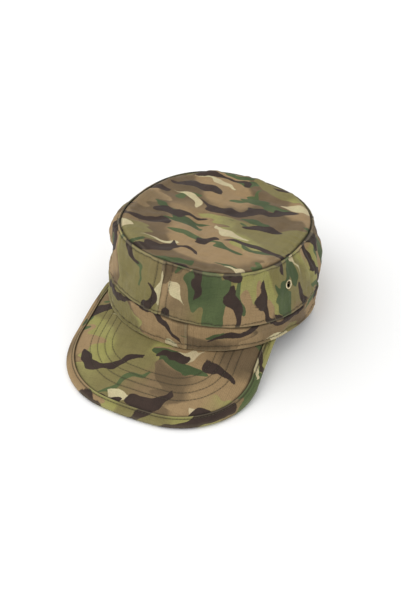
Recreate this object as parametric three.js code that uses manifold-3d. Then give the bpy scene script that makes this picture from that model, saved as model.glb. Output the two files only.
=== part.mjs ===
// Patrol cap, in millimetres, +Z up, front of the cap towards -Y, the wearer's left towards +X.
// It lies as it would on a table: the peak's rim and the back of the band's hem touch z = 0.
// Angles go round the head in degrees: 0 is the front, 90 the wearer's left and 180 the back.

import * as THREE from 'three';
import { mergeVertices } from 'three/addons/utils/BufferGeometryUtils.js';
import Module from 'manifold-3d';

// Driving sizes of the crown: half-sizes of its top edge and of the seam above the band
const topFront = 97.8;
const topBack = 100.5;
const topHalfWidth = 75.4;
const seamFront = 101;
const seamBack = 98;
const seamHalfWidth = 88.6;
const wallHeight = 51;

// Driving sizes of the band, whose lower edge is the hem
const hemFront = 95.7;
const hemBack = 90;
const hemHalfWidth = 88.9;
const bandHeight = 21.5;

// Driving sizes of the peak and of the binding round its rim
const peakHalfWidth = 83.4;
const peakReach = 65.8;
const peakDrop = 24;
const peakArch = 0.35;
const peakLiftWidth = 46;
const peakLiftEase = 1.4;
const peakCornerRadius = 66.4;
const peakFrontRadius = 245;
const peakTuck = 10;
const bindingWidth = 6;

// Thicknesses of the cloth, the clearance between pieces and the lapped joints
const topThickness = 1.4;
const wallThickness = 1.6;
const bandThickness = 2;
const peakThickness = 2.8;
const bindingThickness = 0.9;
const gap = 0.3;
const lapWidth = 13;
const lapHeight = 0.9;
const lapEdge = 0.5;

// Eyelets: one on each side of the wall, at a share of its height
const eyeletAngle = 68.5;
const eyeletHeight = 0.57;
const eyeletHoleRadius = 3;
const eyeletFlangeRadius = 4.2;
const eyeletMetal = 0.5;
const eyeletCrown = 0.8;

// How the cloth gives: the table presses the hem up at the back and the seam above rides up there,
// and the hem is drawn up a little at the sides
const hemPress = 3;
const hemSideRise = 3;
const seamBackLift = 4;

// Where the peak's two ends meet the band, and how far inside the hem they come out
const peakLeftEnd = { angle: 65, inset: 6 };
const peakRightEnd = { angle: -71.5, inset: -2 };

// Angles of the two lapped joints, at the top and at the bottom of their strip
const frontSeam = { top: -1, bottom: -3.5 };
const bandJoint = { top: 11.5, bottom: 12.5 };

// The three tilted ovals that carry the crown and the band. Pitch raises the front and lean lowers
// the wearer's left, in degrees. Across and along move the middle, as shares of seamHalfWidth.
const ovals = {
  top: {
    front: topFront, back: topBack, side: topHalfWidth, power: 2.4,
    up: wallHeight, pitch: 12.5, lean: 4.1, across: 0.012, along: 0.045,
  },
  seam: {
    front: seamFront, back: seamBack, side: seamHalfWidth, power: 2.1,
    up: 0, pitch: 12, lean: 3.05, across: 0, along: 0,
  },
  hem: {
    front: hemFront, back: hemBack, side: hemHalfWidth, power: 2.1,
    up: -bandHeight, pitch: 7.6, lean: -0.5, across: -0.008, along: -0.036,
  },
};

// Where the wall's cloth stands out or dents in. Angle and across are degrees, height and tall are
// shares of the way from the seam to the top edge, and out is a share of wallHeight.
const wallForms = [
  { angle: 116, across: 40, height: 0.45, tall: 0.38, out: 0.1 },
  { angle: -60, across: 22, height: 0.76, tall: 0.3, out: 0.12 },
  { angle: -54, across: 14, height: 0.42, tall: 0.12, out: -0.045 },
  { angle: 36, across: 20, height: 0.8, tall: 0.16, out: -0.05 },
  { angle: 10, across: 18, height: 0.35, tall: 0.25, out: 0.02 },
  { angle: 98, across: 6, height: 0.75, tall: 0.22, out: -0.035 },
  { angle: 180, across: 34, height: 0.5, tall: 0.4, out: 0.05 },
];

// Where the top panel sags or swells. Across and along are shares of the top oval's half-sizes,
// counted from its middle, reach is a share of those half-sizes, and rise one of wallHeight.
const topForms = [
  { across: 0, along: 0, reach: 0.62, rise: -0.06 },
  { across: 0.45, along: -0.45, reach: 0.26, rise: 0.03 },
  { across: -0.3, along: -0.1, reach: 0.2, rise: -0.025 },
  { across: 0.35, along: 0.35, reach: 0.22, rise: -0.025 },
];

// Rows of each strip from its lower edge to its upper one, as shares of the way up, and how far
// the outer face turns in there towards the joint, as a share of the strip's thickness
const wallRows = [
  { height: 0, turn: 0.45 }, { height: 0.035, turn: 0 }, { height: 0.17, turn: 0 },
  { height: 0.31, turn: 0 }, { height: 0.45, turn: 0 }, { height: 0.59, turn: 0 },
  { height: 0.73, turn: 0 }, { height: 0.87, turn: 0 }, { height: 0.965, turn: 0 },
  { height: 1, turn: 0.5 },
];
const bandRows = [
  { height: 0, turn: 0.3 }, { height: 0.07, turn: 0 }, { height: 0.5, turn: 0 },
  { height: 0.93, turn: 0 }, { height: 1, turn: 0.45 },
];

// Rings of the top panel as shares of its radius, and rows of the peak between binding and band
const topRings = [0, 0.26, 0.5, 0.72, 0.88, 0.965, 1];
const peakRows = [0, 0.3, 0.65, 1];

// Facets
const columns = 76;
const peakColumns = 52;
const holeSides = 20;

const radians = THREE.MathUtils.degToRad;
const degrees = THREE.MathUtils.radToDeg;
const mix = THREE.MathUtils.lerp;
const smoothShare = (value) => THREE.MathUtils.smoothstep(value, 0, 1);
const bell = (distance, width) => Math.exp(-((distance / width) ** 2));

// The cloth

// Joins an outer face and an inner face, given as columns of points, into one closed solid. The
// columns run all the way round, or end in two caps. Points that fall together become one.
function clothSolid(outer, inner, closed) {
  const last = outer[0].length - 1;
  const points = [];
  // Each patch is split along its shorter diagonal
  const addQuad = (a, b, c, d) => {
    if (a.distanceTo(c) < b.distanceTo(d)) points.push(a, b, c, a, c, d);
    else points.push(a, b, d, b, c, d);
  };
  const spans = closed ? outer.length : outer.length - 1;
  for (let i = 0; i < spans; i += 1) {
    const j = (i + 1) % outer.length;
    for (let row = 0; row < last; row += 1) {
      addQuad(outer[i][row], outer[j][row], outer[j][row + 1], outer[i][row + 1]);
      addQuad(inner[i][row], inner[i][row + 1], inner[j][row + 1], inner[j][row]);
    }
    addQuad(outer[i][0], inner[i][0], inner[j][0], outer[j][0]);
    addQuad(outer[i][last], outer[j][last], inner[j][last], inner[i][last]);
  }
  if (!closed) {
    const end = outer.length - 1;
    for (let row = 0; row < last; row += 1) {
      addQuad(outer[0][row], outer[0][row + 1], inner[0][row + 1], inner[0][row]);
      addQuad(outer[end][row], inner[end][row], inner[end][row + 1], outer[end][row + 1]);
    }
  }
  return weld(new THREE.BufferGeometry().setFromPoints(points));
}

// One vertex for each place, without triangles that have shrunk to a line, faces outwards
function weld(loose) {
  loose.deleteAttribute('normal');
  loose.deleteAttribute('uv');
  const geometry = mergeVertices(loose, 1e-4);
  const place = geometry.getAttribute('position');
  const corner = (index) => new THREE.Vector3().fromBufferAttribute(place, index);
  const kept = [];
  let volume = 0;
  const index = geometry.getIndex().array;
  for (let i = 0; i < index.length; i += 3) {
    const [a, b, c] = [index[i], index[i + 1], index[i + 2]];
    if (a !== b && b !== c && c !== a) {
      kept.push(a, b, c);
      volume += corner(a).dot(corner(b).cross(corner(c)));
    }
  }
  geometry.setIndex(volume < 0 ? kept.reverse() : kept);
  geometry.computeVertexNormals();
  return geometry;
}

// Horizontal direction away from the head at an angle
function outward(angle) {
  return new THREE.Vector3(Math.sin(radians(angle)), -Math.cos(radians(angle)), 0);
}

// The short way round from one angle to another
function turnBetween(from, to) {
  return THREE.MathUtils.euclideanModulo(to - from + 180, 360) - 180;
}

// Grows from 0 at the front to 1 at the back of the head
const backShare = (angle) => ((1 - Math.cos(radians(angle))) / 2) ** 3;

function ovalRadius(oval, angle) {
  const half = Math.cos(radians(angle)) > 0 ? oval.front : oval.back;
  const along = Math.abs(Math.cos(radians(angle))) / half;
  const across = Math.abs(Math.sin(radians(angle))) / oval.side;
  return (along ** oval.power + across ** oval.power) ** (-1 / oval.power);
}

// A point of an oval or inside it, at a share of its radius and a height over its plane
function ovalPoint(oval, angle, share = 1, up = 0) {
  const point = outward(angle).multiplyScalar(ovalRadius(oval, angle) * share).setZ(up);
  point.applyAxisAngle(new THREE.Vector3(1, 0, 0), -radians(oval.pitch));
  point.applyAxisAngle(new THREE.Vector3(0, 1, 0), radians(oval.lean));
  point.x += oval.across * seamHalfWidth;
  point.y += oval.along * seamHalfWidth;
  point.z += oval.up;
  return point;
}

// The rim's middle lies rimHalf over the table, and the hem's front peakDrop over that
const rimHalf = peakThickness / 2 + gap + bindingThickness;
const restLift = rimHalf + peakDrop - ovalPoint(ovals.hem, 0).z;
const hemBackDrop = ovalPoint(ovals.hem, 180).z + restLift + hemPress;

// Points of the top edge, the seam and the hem on the cap at rest
function topPoint(angle, share = 1, up = 0) {
  const point = ovalPoint(ovals.top, angle, share, up);
  point.z += restLift;
  return point;
}

function seamPoint(angle) {
  const point = ovalPoint(ovals.seam, angle);
  point.z += restLift + seamBackLift * backShare(angle);
  return point;
}

function hemPoint(angle) {
  const point = ovalPoint(ovals.hem, angle);
  point.z += restLift - hemBackDrop * backShare(angle);
  point.z += hemSideRise * Math.sin(radians(angle)) ** 4;
  point.z = Math.max(point.z, 0);
  return point;
}

// How far the wall's cloth stands out at an angle and a share of its height
function wallOut(angle, height) {
  const parts = wallForms.map((form) => (
    form.out * bell(turnBetween(form.angle, angle), form.across) * bell(height - form.height, form.tall)
  ));
  const clear = (1 - height) * wallHeight / topThickness - 1;
  const free = smoothShare(height / 0.12) * smoothShare(clear / 2);
  return wallHeight * free * parts.reduce((sum, part) => sum + part, 0);
}

// A point of the wall's outer face
function wallPoint(angle, height) {
  const point = seamPoint(angle).lerp(topPoint(angle), height);
  point.z += mix(gap / 2, 0, height);
  return point.addScaledVector(outward(angle), wallOut(angle, height));
}

// A point of the band's outer face
function bandPoint(angle, height) {
  const point = hemPoint(angle).lerp(seamPoint(angle), height);
  point.z -= mix(0, gap / 2, height);
  return point;
}

// Angles of a strip's columns. The strip starts just after its lapped joint and ends on it.
function columnAngle(column, joint, height, radius) {
  const start = mix(joint.bottom, joint.top, height);
  const step = degrees(lapEdge / radius);
  return start + mix(step, 360, column / (columns - 1));
}

// Thickness that the lapped end adds over the other end, next to the joint
function lapAt(column, radius) {
  const before = (2 * Math.PI * radius * (columns - 1 - column)) / (columns - 1);
  return before < lapWidth ? lapHeight : 0;
}

// A closed strip of cloth round the head with its ends lapped
function lappedStrip(rows, facePoint, thickness, joint, radius) {
  const outer = [];
  const inner = [];
  for (let column = 0; column < columns; column += 1) {
    const lap = lapAt(column, radius);
    const outerColumn = [];
    const innerColumn = [];
    for (const row of rows) {
      const angle = columnAngle(column, joint, row.height, radius);
      const face = facePoint(angle, row.height);
      const out = outward(angle);
      outerColumn.push(face.clone().addScaledVector(out, lap - row.turn * thickness));
      innerColumn.push(face.addScaledVector(out, -thickness));
    }
    outer.push(outerColumn);
    inner.push(innerColumn);
  }
  return clothSolid(outer, inner, true);
}

// The top panel fits inside the wall's upper edge
function crownTop() {
  const outer = [];
  const inner = [];
  for (let column = 0; column < columns; column += 1) {
    const angle = columnAngle(column, frontSeam, 1, topHalfWidth);
    const radius = ovalRadius(ovals.top, angle);
    const fit = 1 - (wallThickness + gap) / radius;
    const outerColumn = [];
    const innerColumn = [];
    for (const ring of topRings) {
      const share = ring * fit;
      const across = share * Math.sin(radians(angle)) * radius / topHalfWidth;
      const along = share * Math.cos(radians(angle)) * radius / topFront;
      const up = topRise(across, -along, ring);
      outerColumn.push(topPoint(angle, share, up));
      innerColumn.push(topPoint(angle, share, up - topThickness));
    }
    outer.push(outerColumn);
    inner.push(innerColumn);
  }
  return clothSolid(outer, inner, true);
}

// Height of the top panel over the plane of its edge
function topRise(across, along, ring) {
  const parts = topForms.map((form) => (
    form.rise * bell(Math.hypot(across - form.across, along - form.along), form.reach)
  ));
  const shoulder = topThickness * smoothShare((1 - ring) / 0.1);
  const free = smoothShare((1 - ring) / 0.3);
  return shoulder + wallHeight * free * parts.reduce((sum, part) => sum + part, 0);
}

// The peak

// Outline of the peak, from its end on the wearer's left round the front to its other end
const endPoint = (end) => hemPoint(end.angle).addScaledVector(outward(end.angle), -end.inset);
const leftEnd = endPoint(peakLeftEnd);
const rightEnd = endPoint(peakRightEnd);
const peakMiddleX = ovals.hem.across * seamHalfWidth;
const peakFrontY = hemPoint(0).y - peakReach;
const cornerX = peakHalfWidth - peakCornerRadius;
const cornerFromFront = peakFrontRadius
  - Math.sqrt((peakFrontRadius - peakCornerRadius) ** 2 - cornerX ** 2);
const cornerY = peakFrontY + cornerFromFront;
const cornerTurn = Math.asin(cornerX / (peakFrontRadius - peakCornerRadius));

function peakOutline() {
  const right = -Math.PI / 2;
  const path = new THREE.Path();
  path.moveTo(leftEnd.x, leftEnd.y);
  path.lineTo(peakMiddleX + peakHalfWidth, cornerY);
  path.absarc(peakMiddleX + cornerX, cornerY, peakCornerRadius, 0, right + cornerTurn, true);
  path.absarc(peakMiddleX, peakFrontY + peakFrontRadius, peakFrontRadius,
    right + cornerTurn, right - cornerTurn, true);
  path.absarc(peakMiddleX - cornerX, cornerY, peakCornerRadius, right - cornerTurn, -Math.PI, true);
  path.lineTo(rightEnd.x, rightEnd.y);
  return path;
}

const outline = peakOutline();

// One column of the peak, from the rim straight in to its end under the band. Span is its length
// outside the band, and bound the part of it that the binding covers.
function peakColumn(index) {
  const share = index / peakColumns;
  const angle = mix(peakLeftEnd.angle, peakRightEnd.angle, share);
  const flat = outline.getPointAt(share);
  const tangent = outline.getTangentAt(share);
  const normal = new THREE.Vector3(-tangent.y, tangent.x, 0);
  const hem = hemPoint(angle);
  const rim = new THREE.Vector3(flat.x, flat.y, 0);
  const under = hem.clone().addScaledVector(outward(angle), -peakTuck).setZ(0);
  const full = rim.distanceTo(under);
  const inwards = under.clone().sub(rim).normalize();
  const tucked = (peakTuck + 2 * gap) / -outward(angle).dot(inwards);
  const span = Math.max(full - tucked, 0);
  const bound = bindingWidth / -normal.dot(inwards);
  // Near its ends the binding's upper leg runs in under the hem, so the peak lies lower there
  const room = (gap + bindingThickness) * (1 - smoothShare((span - bound) / bindingWidth));
  const level = hem.z - gap - room;
  // The rim lies on the table where the peak is wide, and climbs to the band where it narrows
  const climb = Math.max(1 - span / peakLiftWidth, 0) ** peakLiftEase;
  const rimMiddle = mix(rimHalf, level - peakThickness / 2, climb);
  const rimTop = rimMiddle + peakThickness / 2;
  return { rim, inwards, normal, full, span, bound, level, rimTop };
}

// A point on the peak's upper face, a distance in from the rim
function peakPoint(column, inset) {
  const share = inset < column.span ? inset / column.span : 1;
  const bow = share + peakArch * share * (1 - share);
  const point = column.rim.clone().addScaledVector(column.inwards, inset);
  return point.setZ(mix(column.rimTop, column.level, bow));
}

function peakSections() {
  const sections = [];
  for (let index = 0; index <= peakColumns; index += 1) sections.push(peakColumn(index));
  return sections;
}

function peak() {
  const outer = [];
  const inner = [];
  for (const column of peakSections()) {
    const meet = Math.max(column.span, mix(column.bound, column.full, 0.5));
    const insets = [0, ...peakRows.map((share) => mix(column.bound, meet, share)), column.full];
    const top = insets.map((inset) => peakPoint(column, inset));
    outer.push(top);
    inner.push(top.map((point) => point.clone().setZ(point.z - peakThickness)));
  }
  return clothSolid(outer, inner, false);
}

// The binding is folded round the rim: an upper leg, a rounded edge and a lower leg
function peakBinding() {
  const outer = [];
  const inner = [];
  for (const column of peakSections()) {
    const shoulder = rimHalf - bindingThickness - gap;
    const rimTop = peakPoint(column, 0);
    const groove = peakPoint(column, column.bound);
    const legs = [groove, rimTop.clone().lerp(groove, shoulder / column.bound)];
    const edge = (out, up) => rimTop.clone().addScaledVector(column.normal, out)
      .setZ(rimTop.z - peakThickness / 2 + up);
    const raise = (point, up) => point.clone().setZ(point.z + up);
    const skin = gap + bindingThickness;
    const inside = peakThickness / 2 + gap;
    const cut = Math.SQRT1_2;
    outer.push([
      raise(legs[0], skin), raise(legs[1], skin), edge(skin * cut, inside * cut + bindingThickness * cut),
      edge(skin, 0), edge(skin * cut, -(inside + bindingThickness) * cut),
      edge(-shoulder, -inside - bindingThickness), raise(legs[0], -peakThickness - skin),
    ]);
    inner.push([
      raise(legs[0], gap), raise(legs[1], gap), edge(gap, inside), edge(gap, 0), edge(gap, -inside),
      edge(-shoulder, -inside), raise(legs[0], -peakThickness - gap),
    ]);
  }
  return clothSolid(outer, inner, false);
}

// The eyelets

// Place and outward direction of the wall at an eyelet, and how far the wall's bent cloth lies
// over and under the flat flange there
function eyeletSeat(angle) {
  const turn = degrees(eyeletFlangeRadius / seamHalfWidth);
  const climb = eyeletFlangeRadius / wallHeight;
  const around = (across, up) => wallPoint(angle + across * turn, eyeletHeight + up * climb);
  const middle = around(0, 0);
  const across = around(1, 0).sub(around(-1, 0));
  const up = around(0, 1).sub(around(0, -1));
  const out = across.cross(up).normalize();
  const ring = [[1, 0], [-1, 0], [0, 1], [0, -1], [1, 1], [1, -1], [-1, 1], [-1, -1]];
  const bends = ring.map(([sideways, upwards]) => around(sideways, upwards).sub(middle).dot(out));
  const facet = (2 * Math.PI * seamHalfWidth / columns) ** 2 / (8 * seamHalfWidth);
  return { middle, out, over: Math.max(...bends, 0) + facet, under: facet - Math.min(...bends, 0) };
}

// Turns a shape made along +Y to stand on the wall at an eyelet
function ontoWall(geometry, angle) {
  const { middle, out } = eyeletSeat(angle);
  const turn = new THREE.Quaternion().setFromUnitVectors(new THREE.Vector3(0, 1, 0), out);
  geometry.applyQuaternion(turn);
  geometry.translate(middle.x, middle.y, middle.z);
  return geometry;
}

// A brass spool: a domed flange outside, a barrel through the wall and a washer inside
function eyelet(angle) {
  const barrel = eyeletHoleRadius - gap;
  const bore = barrel - eyeletMetal;
  const { over, under } = eyeletSeat(angle);
  const seat = gap + over;
  const far = -wallThickness - gap - under;
  const profile = [
    [barrel, seat], [eyeletFlangeRadius, seat], [eyeletFlangeRadius, seat + eyeletMetal / 2],
    [mix(bore, eyeletFlangeRadius, 0.55), seat + eyeletCrown],
    [mix(bore, eyeletFlangeRadius, 0.15), seat + eyeletMetal],
    [bore, seat], [bore, far - eyeletMetal], [eyeletFlangeRadius - gap, far - eyeletMetal],
    [eyeletFlangeRadius - gap, far], [barrel, far], [barrel, seat],
  ];
  const points = profile.map(([radius, along]) => new THREE.Vector2(radius, along));
  return weld(ontoWall(new THREE.LatheGeometry(points, holeSides), angle));
}

const manifold = await Module();
manifold.setup();

function toManifold(geometry) {
  return new manifold.Manifold(new manifold.Mesh({
    numProp: 3,
    vertProperties: new Float32Array(geometry.getAttribute('position').array),
    triVerts: new Uint32Array(geometry.getIndex().array),
  }));
}

// The wall with a hole through it for each eyelet
function crownWall() {
  const strip = lappedStrip(wallRows, wallPoint, wallThickness, frontSeam, seamHalfWidth);
  let solid = toManifold(strip);
  for (const angle of [eyeletAngle, -eyeletAngle]) {
    const punch = new THREE.CylinderGeometry(eyeletHoleRadius, eyeletHoleRadius,
      eyeletFlangeRadius * 2, holeSides);
    solid = solid.subtract(toManifold(weld(ontoWall(punch, angle))));
  }
  const mesh = solid.getMesh();
  const geometry = new THREE.BufferGeometry();
  geometry.setAttribute('position', new THREE.Float32BufferAttribute(mesh.vertProperties, 3));
  geometry.setIndex(new THREE.Uint32BufferAttribute(mesh.triVerts, 1));
  geometry.computeVertexNormals();
  return geometry;
}

function band() {
  return lappedStrip(bandRows, bandPoint, bandThickness, bandJoint, hemHalfWidth);
}

// Assembly

function cloth(colour) {
  return new THREE.MeshStandardMaterial({ color: colour, roughness: 0.92, metalness: 0 });
}

function brass() {
  return new THREE.MeshStandardMaterial({ color: 0xb49a62, roughness: 0.4, metalness: 0.9 });
}

const cap = new THREE.Group();

function addPiece(name, geometry, material) {
  const mesh = new THREE.Mesh(geometry, material);
  mesh.name = name;
  cap.add(mesh);
}

addPiece('crown_top', crownTop(), cloth(0x8d875c));
addPiece('crown_wall', crownWall(), cloth(0x8a8059));
addPiece('band', band(), cloth(0x84795a));
addPiece('peak', peak(), cloth(0x857b58));
addPiece('peak_binding', peakBinding(), cloth(0x6c5c47));
addPiece('eyelet_left', eyelet(eyeletAngle), brass());
addPiece('eyelet_right', eyelet(-eyeletAngle), brass());

// The origin is the middle of the whole cap, on the table
const middle = new THREE.Box3().setFromObject(cap).getCenter(new THREE.Vector3());
cap.position.set(-middle.x, -middle.y, 0);

export default cap;
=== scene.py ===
import math
from types import SimpleNamespace as Record

import bmesh
import bpy
import numpy as np
from bpy.props import FloatProperty, FloatVectorProperty, IntProperty, PointerProperty
from bpy.types import Operator, Panel, PropertyGroup
from mathutils import Matrix, Vector


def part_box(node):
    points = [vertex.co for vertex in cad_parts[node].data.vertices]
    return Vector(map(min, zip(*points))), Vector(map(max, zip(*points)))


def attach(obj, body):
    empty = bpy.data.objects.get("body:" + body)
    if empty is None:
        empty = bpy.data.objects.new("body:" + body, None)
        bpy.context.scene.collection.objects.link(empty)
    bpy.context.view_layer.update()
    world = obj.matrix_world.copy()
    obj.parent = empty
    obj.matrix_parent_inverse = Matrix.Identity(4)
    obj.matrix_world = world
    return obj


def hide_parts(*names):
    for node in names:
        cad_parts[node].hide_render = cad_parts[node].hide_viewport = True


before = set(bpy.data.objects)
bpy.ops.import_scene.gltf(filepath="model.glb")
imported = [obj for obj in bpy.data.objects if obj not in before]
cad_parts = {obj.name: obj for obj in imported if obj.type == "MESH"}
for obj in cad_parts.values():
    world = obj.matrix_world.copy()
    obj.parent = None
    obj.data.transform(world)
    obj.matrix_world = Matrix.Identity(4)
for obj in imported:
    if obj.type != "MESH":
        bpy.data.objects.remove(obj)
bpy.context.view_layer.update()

# The cap lies on its peak and on the back of its hem. +Z is up, the front of the cap is towards -Y
# and the wearer's left towards +X. Angles go round the head in degrees from the front: 90 is the
# wearer's left and 180 the back. Lengths are metres, and millimetres where a table says so.

bl_info = {
    "name": "Patrol cap",
    "version": (1, 0, 0),
    "blender": (4, 5, 0),
    "location": "3D View > Sidebar > Patrol cap",
    "description": "Sews a cloth patrol cap over its solid model",
    "category": "Add Mesh",
}

MM = 0.001


def table(fields, *rows):
    """Rows of numbers as records with named fields."""
    return [Record(**dict(zip(fields.split(), row))) for row in rows]


def named(fields, **rows):
    """The same, with a name for each row."""
    return dict(zip(rows, table(fields, *rows.values())))


def mm(**lengths):
    """A record of lengths that are given in millimetres."""
    return Record(**{name: value * MM for name, value in lengths.items()})


# The three tilted ovals that carry the crown and the band. Pitch raises the front and lean lowers
# the wearer's left, in degrees. Across and along move the middle, in halves of the seam's width.
OVALS = named(
    "power pitch lean across along",
    top=(2.4, 12.5, 4.1, 0.012, 0.045),
    seam=(2.1, 12.0, 3.05, 0.0, 0.0),
    hem=(2.1, 7.6, -0.5, -0.008, -0.036),
)

# Where the wall's cloth stands out or dents in: angle and across in degrees, height and tall as
# shares of the way up, out as a share of the wall's height
WALL_FORMS = table(
    "angle across height tall out",
    (116, 40, 0.45, 0.38, 0.1),
    (-60, 22, 0.76, 0.3, 0.12),
    (-54, 14, 0.42, 0.12, -0.045),
    (36, 20, 0.8, 0.16, -0.05),
    (10, 18, 0.35, 0.25, 0.02),
    (98, 6, 0.75, 0.22, -0.035),
    (180, 34, 0.5, 0.4, 0.05),
)

# Where the top panel sags or swells, in shares of the top oval's half sizes and the wall's height
TOP_FORMS = table(
    "across along reach rise",
    (0.0, 0.0, 0.62, -0.06),
    (0.45, -0.45, 0.26, 0.03),
    (-0.3, -0.1, 0.2, -0.025),
    (0.35, 0.35, 0.22, -0.025),
)

# Small creases that only the cloth's surface shows: the angle and height of the middle, the reach
# along and across in mm, the slant in degrees from level, and the depth in mm
WALL_CREASES = table(
    "angle height long wide slant deep",
    (-66, 0.5, 13, 2.6, -38, 1.95),
    (-50, 0.3, 9, 3, -15, 0.78),
    (22, 0.72, 14, 4, 28, 1.04),
    (42, 0.62, 16, 5, 8, 1.04),
    (8, 0.8, 9, 3.6, 74, 0.78),
    (31, 0.84, 9, 4, 104, 1.04),
    (54, 0.78, 11, 4, 80, 0.91),
    (20, 0.2, 10, 3.6, 100, 0.78),
    (50, 0.22, 10, 3.4, 76, 0.78),
    (-24, 0.34, 12, 4, 60, 0.91),
    (84, 0.7, 15, 3, 82, 1.04),
    (92, 0.66, 18, 2.6, 97, 1.43),
    (101, 0.7, 15, 2.6, 88, 1.17),
    (140, 0.45, 20, 5, 74, 1.3),
    (196, 0.6, 18, 4, 98, 1.17),
    (238, 0.5, 22, 4, 66, 1.3),
)

# The same on the top panel, placed on its own plane in mm from the head's middle
TOP_CREASES = table(
    "x y long wide slant deep",
    (-12, -8, 42, 6.5, 118, 2.4),
    (36, -46, 22, 4.5, -35, 1.4),
    (-46, -42, 26, 5, 40, 1.5),
    (-32, 44, 30, 6, -52, 2.0),
    (50, 12, 24, 4.5, 78, 1.4),
    (12, 64, 24, 5, 12, 1.4),
    (8, -70, 18, 4, 8, 0.8),
)

# Uneven folds: height and size in mm, with a seed and how far they are drawn out sideways
RIPPLES = named(
    "high seed size stretch",
    print_drift_x=(2.2, 11, 26, 1),
    print_fray_x=(0.7, 12, 13, 1),
    print_drift_y=(1.6, 13, 26, 1.6),
    print_fray_y=(0.45, 14, 13, 1),
    print_tongues=(4, 15, 9, 1),
    wall_puckers=(0.36, 61, 9, 0.6),
    wall_swells=(0.6, 62, 34, 1),
    wall_fine=(0.2, 63, 11, 1),
    wall_rolls=(0.102, 64, 14, 1),
    band_puckers=(0.26, 71, 8, 0.42),
    band_swells=(0.6, 72, 30, 1),
    top_puckers=(0.3, 81, 10, 0.7),
    top_swells=(0.8, 82, 44, 1),
    top_fine=(0.2, 83, 14, 1),
    peak_swells=(0.3, 91, 40, 1),
    peak_fine=(0.08, 92, 12, 1),
)

# How far seams gather the cloth, and how near to an edge the cloth is held flat
GATHERS = mm(wall_top=9, wall_low=10, band=8, top=9, held=3)

# The ridge that each part of the cap shows by its seams: how high it stands, where, and how wide
WALL_ROLL = mm(high=0.34, at=1.0, wide=0.7)
WALL_ROLL_TOP, WALL_ROLL_LOW = 0.8, 1.1
LAP = mm(high=0.3, at=1.1, wide=0.9, slope=2.2)
LAP_ROW = 0.9
HEM = mm(fold=0.35, slope=1, tuck=1.5, tuck_reach=2.4, lap_fade=2)
TOP_EDGE = mm(deep=1.3, start=0.3, slope=1.9)
TOP_PUFF = mm(high=1.7, at=6, wide=5)
TOP_PUFF_TURN = 0.7
PEAK_SEAM = mm(deep=0.22, wide=1.2, free=2)
PEAK_ROW = 0.6
BINDING = mm(roll=0.2, roll_at=0.9, roll_wide=0.8, edge_deep=0.4, edge_wide=0.5, ripple=0.1)
BINDING_ROW = 0.7
BINDING_STEPS = Record(leg=17, inner_leg=6, arc=15, inner_arc=9)
TABLE = mm(bend=2.4, settle=0.4)
PEAK_UP = np.array([0, 0.28, 1])

# The eyelet's barrel and washer, inwards from its roll: mm out from its bore or its flange, and
# mm up from its seat on the wall or from its back
EYELET = mm(seat=0.35, washer=0.7)
EYELET_ROLL_FLAT = 0.85
EYELET_ARC = (-35, 200)
EYELET_STEPS = Record(arc=15, turn=56)
EYELET_PARTS = table(
    "side out level up",
    ("bore", 0, "seat", -0.6),
    ("bore", 0, "back", 0),
    ("bore", 0.35, "back", -0.45),
    ("flange", -0.9, "back", -0.35),
    ("flange", -0.4, "back", 0.1),
    ("bore", 0.3, "back", 0.35),
    ("bore", 0.3, "seat", -0.3),
)

# Angles of the two lapped joints, at the top and at the bottom of their strip
FRONT_SEAM = Record(top=-1.0, bottom=-3.5)
BAND_JOINT = Record(top=11.5, bottom=12.5)

# Where the peak's two ends meet the band, the wearer's left end first: the angle, how far inside
# the hem it comes out and how far its last stretch is drawn in under the band, both in mm
PEAK_ENDS = table("angle inset pull", (65.0, 6, 1), (-71.5, -2, 3))
PEAK_END_REACH = 9 * MM
PEAK_END_FLAT = 0.4

# Mesh steps: fine near edges and coarse between, and how far the fine steps go
ALONG_STRIP = mm(fine=0.45, coarse=0.86, near=15, inset=0.4)
UP_STRIP = mm(fine=0.36, coarse=0.95, near=5, back=1.6)
PEAK_COLUMNS, PEAK_FACE_ROWS, PEAK_BACK_ROWS = 430, 108, 46
TOP_COLUMNS, TOP_FACE_ROWS, TOP_EDGE_ROWS, TOP_BACK_ROWS = 500, 88, 15, 20
TOP_EDGE_SHARE = 0.06
TOP_MIDDLE_SHARE = 0.05
FOLD_STEPS, ARC_STEPS, ROUND_STEPS = 7, 200, 1441
RIM_STEP = 1.2 * MM
TOP_FLANGE = (4.2 * MM, 2.8 * MM, 1.4 * MM)

# Half widths of the rubbed lines, which also paint a highlight, and of the painted shade lines, and
# where rubbing lies on a fold
SHADE = mm(rub=0.9, row=0.9, lap_row=0.8, edge=0.7, low_edge=0.8, wall_fold=0.9, hem_fold=0.6,
           lap_fold=0.8, top_fold=3.5, top_edge=0.2, peak_row=0.6, binding=0.5, tuck=2,
           tuck_slope=1.6)
# Strength of the painted shade along stitched rows
ROW_SHADE = 0.4
BACK_FROM = (0.5, 0.75)

# The print, in mm: each field's seed, the size of its shapes and how far they are drawn out
PRINT_FIELDS = named(
    "seed size stretch",
    warm=(21, 105, 1.6),
    brown=(23, 92, 1.7),
    fade=(24, 72, 1.3),
    green=(25, 50, 1.9),
    twigs=(26, 18, 2.2),
    tone=(27, 50, 1.0),
)
TORN_FIELDS = ("brown", "green", "twigs")
PRINT_EDGES = mm(brown=12, green=6)
PRINT_LEVELS = Record(brown=0.05, green=1.5, twigs_in_green=0.45, brown_in_fade=0.55)
TONGUE_PULL = 0.25
COLOUR_DRIFT = {"olive": 26, "tan": 22, "brown": 34, "cream": 40, "dark": 60}

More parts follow.
